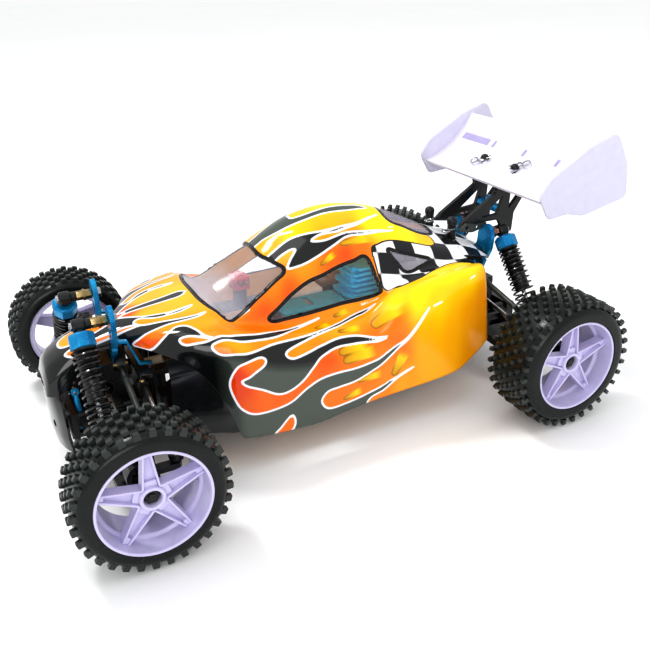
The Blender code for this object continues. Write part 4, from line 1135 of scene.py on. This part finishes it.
def bumper_wall():
    """A curved plate with a rolled rim, standing in front of the gearbox."""
    front = SKIN + [(x, -y) for x, y in reversed(SKIN[:-1])]
    line = [(Vector((x, y, 0)), Vector((1, y * 0.03, 0)).normalized()) for x, y in front]
    heights = list(np.linspace(21, 58, 14))
    profile = [(0, z) for z in heights] + [(-2.0, z) for z in reversed(heights)]
    verts = []
    for p, n in line:
        for a, z in profile:
            waist = max(0.0, (z - 38) / 20)
            narrow = 1 - 0.3 * waist * waist
            lean = 0.6 * waist - 1.2 * max(0.0, (30 - z) / 9)
            verts.append((p.x + n.x * a + lean, (p.y + n.y * a) * narrow, z))
    count, last = len(profile), (len(line) - 1) * len(profile)
    ends = [list(range(count)), list(range(last, last + count))]
    return verts, ring_faces(len(line), count) + ends


piece("bumper_plate", [bumper_wall(), block(161.2, 168, -12, 12, 21.2, 24.8),
                       prism("X", [(-15, 42), (15, 42), (14, 46), (-14, 46)], 164.5, 167)],
      GLOSS, "chassis", ["front_bumper"], bevel=0.25,
      cuts=[rod("X", s * 13, 36, 2.2, 150, 175) for s in (1, -1)])


# ---- splash guards under the bonnet edges ----
def guard():
    """A ribbed wall from the chassis up to the bonnet, behind each front wheel."""
    line = [(64.5, 59.5, 60), (72, 57.5, 74), (80, 53.5, 80), (90, 49, 82), (99, 46, 78), (106, 44.5, 76)]
    low, n = 24.2, 7
    verts, faces = [], []
    for x, y, top in line:
        for lift in (0.0, 1.6):
            for k in range(n):
                t = k / (n - 1)
                bulge = 3.0 * math.sin(math.pi * t) + 1.2 * math.sin(3 * math.pi * t)
                verts.append((x - 0.5 * bulge, y - lift + bulge, low + (top - low) * t))
    for i in range(len(line) - 1):
        a, b = i * 2 * n, (i + 1) * 2 * n
        for k in range(n - 1):
            faces.append([a + k, b + k, b + k + 1, a + k + 1])
            faces.append([a + n + k + 1, b + n + k + 1, b + n + k, a + n + k])
        faces.append([a, a + n, b + n, b])
        faces.append([a + n - 1, b + n - 1, b + 2 * n - 1, a + 2 * n - 1])
    last = (len(line) - 1) * 2 * n
    for base in (0, last):
        for k in range(n - 1):
            quad = [base + k, base + k + 1, base + n + k + 1, base + n + k]
            faces.append(quad if base == 0 else quad[::-1])
    return verts, faces


for side, label in SIDES:
    piece(f"splash_guard_{label}", [guard()], GLOSS, "chassis", side=side, angle=60)


# ---- bumper links ----
LINK_EYES = ((155.0, 56.6), (153.3, 33.0))
LINK_LINE = [(154.9, 19, 55), (154.9, 19, 51), (153.6, 19, 38), (153.4, 19, 34.4)]


def eyelet(x, y, z):
    """The moulded eye at a link's end, its hole across the buggy."""
    return lathe("Y", x, z, [(1.0, y - 1.2), (2.3, y - 1.2), (2.6, y), (2.3, y + 1.2), (1.0, y + 1.2)], 20)


for side, label in SIDES:
    eyes = [eyelet(x, 19, z) for x, z in LINK_EYES]
    bolts = [rod("Y", x, z, 1.1, 13.5, 21, 12) for x, z in LINK_EYES]
    piece(f"bumper_link_{label}", [tube(LINK_LINE, [1.2, 1.7, 1.7, 1.2], 12), *eyes], BLUE, "chassis",
          side=side)
    piece(f"bumper_link_bolts_{label}", bolts, STEEL, "chassis", side=side, bevel=0.15)


# ---- rear wing ----
WING_TOP = [(-143.5, 136.5), (-152, 139.6), (-161, 144.4), (-170, 151.2), (-178, 159.4), (-184.5, 168.5)]
PLATE_EDGE = [(-196, 174), (-200, 172.5), (-210, 154), (-213, 134), (-211.5, 131), (-177, 124),
              (-163, 127.5), (-149, 126), (-146.5, 127.5), (-139, 141), (-147, 151.5), (-177, 168)]


def wing_blade():
    """The blade: its curved section drawn out across the buggy."""
    points, top = [Vector(p) for p in WING_TOP], []
    for i in range(len(points) - 1):
        near = [points[min(max(i + k, 0), len(points) - 1)] for k in (-1, 0, 1, 2)]
        top += [catmull(*near, k / 6) for k in range(6)]
    top.append(points[-1])
    under = [Vector((p.x - 0.9, p.y - 1.8)) for p in reversed(top)]
    edge = top + [Vector((top[-1].x - 0.9, top[-1].y - 0.3))] + under
    return prism("Y", [tuple(p) for p in edge], -WING_HALF, WING_HALF)


SLOT_SPANS = [(-61.0, -28.6)] + [(y - 1.6, y + 1.6) for y in (-22.7, 11.1, 44.9)]
slots = [prism("Z", [(-170.7, a), (-170.7, b), (-175.3, b), (-175.3, a)], 120, 180)
         for a, b in SLOT_SPANS]
slots += [rod("Z", WING_POST_X, s * WING_POST_Y, 2.6, 120, 170) for s in (1, -1)]
piece("wing_blade", [wing_blade()], WING, "chassis", ["rear_wing"], bevel=0.3, angle=50,
      cuts=slots)
# Painted shade: the floors under the slots are a darker, greyer lavender than the blade, as shade in the
# recesses.
SLOT_SHADE_FLOOR = look("slot_floor", (170, 162, 202), (182, 174, 212), (0.4, 0.5))
SLOT_BED = [(-169.9, 149.9), (-176.1, 156.2), (-176.5, 155.8), (-170.3, 149.5)]
piece("wing_slot_floors", [prism("Y", SLOT_BED, a - 0.5, b + 0.5) for a, b in SLOT_SPANS], SLOT_SHADE_FLOOR,
      "chassis")
outline = rounded(PLATE_EDGE, 3.0)
lip = [(x, WING_HALF + 0.3, z) for x, z in outline + outline[:1]]
for side, label in SIDES:
    plate = prism("Y", outline, WING_HALF - 0.6, WING_HALF + 1.1)
    piece(f"wing_endplate_{label}", [plate], PLATE, "chassis", side=side, bevel=0.3)
    piece(f"wing_endplate_lip_{label}", [tube(lip, 0.95, 8, False)], PLATE, "chassis", side=side)


# ---- wing stay and posts ----
TRUSS = [(-118, 108.3), (-120.5, 112.5), (-149, 130), (-147.5, 134.4), (-153, 136.6), (-162, 141),
         (-171, 147), (-176, 151), (-179.5, 148), (-175, 128), (-165, 113), (-164, 99),
         (-140.3, 97), (-140.3, 103), (-154, 104.5), (-151, 109.5), (-137, 109.8), (-127, 107)]
GAPS = ([(-136, 113), (-150.5, 114), (-154.5, 127)],
        [(-160, 116), (-169, 126.5), (-171, 137), (-161, 131.5)])


def dome(at, axis_low, radius):
    """A smooth button cap."""
    x, y = at
    line = [(0.2, axis_low), (radius, axis_low), (radius * 1.02, axis_low + radius * 0.35)]
    line += [(radius * math.cos(t), axis_low + radius * 0.4 + radius * 0.8 * math.sin(t))
             for t in np.linspace(0.1, 1.5, 8)]
    return lathe("Z", x, y, line, 24)


def body_clip(x, y, z, reach, side_turn, lean=0.0):
    """A bent wire pin: one straight leg through the post, one waved leg round it, and a loop."""
    leg = [(reach * 0.55 * t, 0.0, 0.0) for t in np.linspace(-1.0, 1.2, 8)]
    loop = [(reach * 0.66 + 2.9 - 2.9 * math.cos(q), 2.8 * math.sin(q) + 0.2, 0.0)
            for q in np.linspace(0.1, 5.2, 16)]
    wave = [(reach * (0.55 - 1.15 * t), 2.6 + 1.0 * math.sin(t * 7.0) * (1 - t), 0.0)
            for t in np.linspace(0, 1, 14)]
    turn = (Matrix.Translation(Vector((x, y, z))) @ Matrix.Rotation(lean, 4, "Y")
            @ Matrix.Rotation(side_turn, 4, "Z"))
    return moved(tube(leg + loop + wave, 0.55, 8), turn)


parts = []
for s in (1, -1):
    parts.append(prism("Y", rounded(TRUSS, 1.4), s * 11.6, s * 14.6))
    parts.append(block(WING_POST_X - 3, WING_POST_X + 3, s * 15.8 - 3.2, s * 15.8 + 3.2, 133.5, 138))
parts += [rod("Y", x, z, r, -12, 12, 20)
          for x, z, r in ((-156.6, 122, 2.0), (-147, 111.8, 1.8), (-171, 144, 1.8))]
parts += [rod("Z", WING_POST_X, s * WING_POST_Y, 2.1, 134, 146.5, 20) for s in (1, -1)]
piece("stay_frame", parts, BLACK, "chassis", ["wing_stay"], bevel=0.3,
      cuts=[prism("Y", rounded(gap, 1.5), s * 9, s * 17) for gap in GAPS for s in (1, -1)])
FOOT = [(-118.5, 109), (-116, 106.5), (-128, 104.4), (-139, 107), (-140, 110.2), (-131, 109.8),
        (-122, 112.2)]
POST = [(0.2, 86), (3, 86), (3, 113), (3.4, 113.2), (3.4, 114), (0.2, 114)]
SLEEVE = [(2.8, 86), (4.4, 86), (4.4, 92.4), (3.8, 93), (2.8, 93)]
for side, label in SIDES:
    piece(f"stay_foot_{label}", [prism("Y", rounded(FOOT, 1.0), 14.4, 16.4)], GREY, "chassis",
          side=side, bevel=0.2, cuts=[rod("Y", -123, 108.4, 1.3, 10, 20), rod("Y", -132, 107.6, 1.2, 10, 20)])
    piece(f"wing_post_cap_{label}", [dome((WING_POST_X, WING_POST_Y), 145.6, 3.0)], BLACK, "chassis",
          side=side)
    wing_turn, body_turn = (2.3, 0.5) if side > 0 else (-0.85, 0.9)
    clip = body_clip(WING_POST_X, side * WING_POST_Y, 147.0, 8.0, wing_turn, 0.56)
    piece(f"wing_clip_{label}", [clip], STEEL, "chassis")
    post = [lathe("Z", POST_X, POST_Y, POST, 24), dome((POST_X, POST_Y), 114, 3.4),
            lathe("Z", POST_X, POST_Y, SLEEVE, 24)]
    piece(f"body_post_{label}", post, BLACK, "chassis", side=side)
    clip = body_clip(POST_X, side * POST_Y, 110.5, 9.0, body_turn)
    piece(f"body_clip_{label}", [clip], STEEL, "chassis")
piece("body_mount_plate", [block(-136.7, -106, -18, 18, 84, 86.5)], BLACK, "chassis",
      ["rear_body_mount"], bevel=0.4)
clamp = [block(-158.5, -150.5, -7.5, 7.5, 114.5, 117.5), rod("Y", -154.5, 116, 3.2, -11.4, 11.4, 24),
         block(-156.5, -152.5, -3, 3, 117, 123)]
piece("stay_clamp", clamp, BLUE, "chassis", bevel=0.3)


# ---- what shows through the windows ----
FINS, FIN_STEP = 11, 3.6
parts = [block(-56.2, -54.3, 5, 38.5, 24.4, 58)]
for k in range(FINS):             # every second fin is cut back
    z = 61.5 + FIN_STEP * k
    back = -53.0 + 0.6 * k
    front = -20.5 - (0 if k % 2 else 3.2) - 0.7 * k
    fin = [(back, 2.5), (front, 2.5), (front + 2, 8), (front, 13), (front + 2, 19), (front - 1, 26.6),
           (back, 26.6)]
    parts.append(prism("Z", rounded(fin, 0.8, 2), z, z + 1.9))
parts.append(block(-47, -28, 6, 22, 60.2, 99))
SINK = look("sink_blue", (0, 168, 224), (56, 204, 245), (0.3, 0.45), bump=0.04)
piece("heat_sink", parts, SINK, "chassis", ["motor_mount"], bevel=0.15)
piece("radio_tray", [prism("Z", rounded([(-18, 12), (26, 12), (26, 33), (-18, 33)], 3), 81, 82.6),
                     prism("Y", rounded([(-18, 76), (26, 76), (22, 82), (-18, 82)], 2), 30, 32)], TEAL,
      "chassis", bevel=0.2, cuts=[slot_hole("Z", 4, 16, 26, 1.8, 70, 90)])
piece("speed_control", [block(-44, -18, -24, -4, 60, 82)], AMBER, "chassis", bevel=1.0,
      cuts=[rod("Z", x, -14, 2.6, 78, 90) for x in (-36, -26)])
piece("receiver_case", [prism("Z", rounded([(-15, -12), (10, -12), (10, 6), (-15, 6)], 2), 60, 82)],
      look("pale_case", (226, 228, 232), (240, 241, 244), (0.3, 0.4)), "chassis", bevel=0.8)
piece("switch_case", [block(35, 46, -11, 1, 90, 99), block(38, 43, -8, -2, 98, 101)], RED, "chassis",
      bevel=0.8)
piece("switch_stand", [block(37, 44, -9, -1, 78, 90.5)], BLACK, "chassis", bevel=0.4)
piece("crystal_pins", [rod("Y", x, 96, 1.3, 0.5, 5.5, 12) for x in (38.5, 42.5)], BRASS, "chassis",
      bevel=0.2)


# ---- camera, floor and light ----
camera = bpy.data.cameras.new("camera")
camera.lens, camera.sensor_width = 43.0313, 36
camera_object = bpy.data.objects.new("camera", camera)
camera_object.location = (0.211394, 0.438816, 0.286300)
camera_object.rotation_euler = (1.12118317, 0.02402733, 2.6781577)
bpy.context.scene.collection.objects.link(camera_object)
bpy.context.scene.camera = camera_object
bpy.context.scene.view_settings.view_transform = "Standard"
bpy.context.scene.view_settings.gamma = 0.8


def floor_material():
    """Matt studio white."""
    n = Nodes("studio_floor")
    n.link(n.mix(n.noise(3, 2.0), srgb(250, 251, 252), srgb(255, 255, 255)), n.shader.inputs["Base Color"])
    n.link(n.span(n.noise(60), 0.3, 0.7, 0.75, 0.85), n.shader.inputs["Roughness"])
    n.shader.inputs["Specular IOR Level"].default_value = 0.1
    return n.material


def sun_panel(name, place, size, power):
    """A rectangular light aimed at the buggy."""
    lamp = bpy.data.lights.new(name, "AREA")
    lamp.shape, lamp.size, lamp.size_y = "RECTANGLE", size[0], size[1]
    lamp.energy = power
    made = bpy.data.objects.new(name, lamp)
    made.location = place
    made.rotation_euler = (Vector((0, 0, 0.05)) - Vector(place)).to_track_quat("-Z", "Y").to_euler()
    bpy.context.scene.collection.objects.link(made)


floor = bpy.data.meshes.new("floor")
floor.from_pydata([(-6, -6, 0), (6, -6, 0), (6, 6, 0), (-6, 6, 0)], [], [[0, 1, 2, 3]])
floor.materials.append(floor_material())
floor_object = bpy.data.objects.new("floor", floor)
floor_object.location.z = -0.0003
bpy.context.scene.collection.objects.link(floor_object)

world = bpy.data.worlds.new("studio")
world.use_nodes = True
world.node_tree.nodes["Background"].inputs["Color"].default_value = (1.0, 1.0, 1.0, 1.0)
world.node_tree.nodes["Background"].inputs["Strength"].default_value = 0.98
bpy.context.scene.world = world
sun_panel("key", (0.5, -0.65, 1.5), (0.3, 0.25), 9)
sun_panel("top", (0.3, 0.2, 1.7), (1.2, 0.5), 3)
sun_panel("fill", (0.7, 1.5, 0.8), (0.9, 0.7), 8)

bpy.context.view_layer.update()
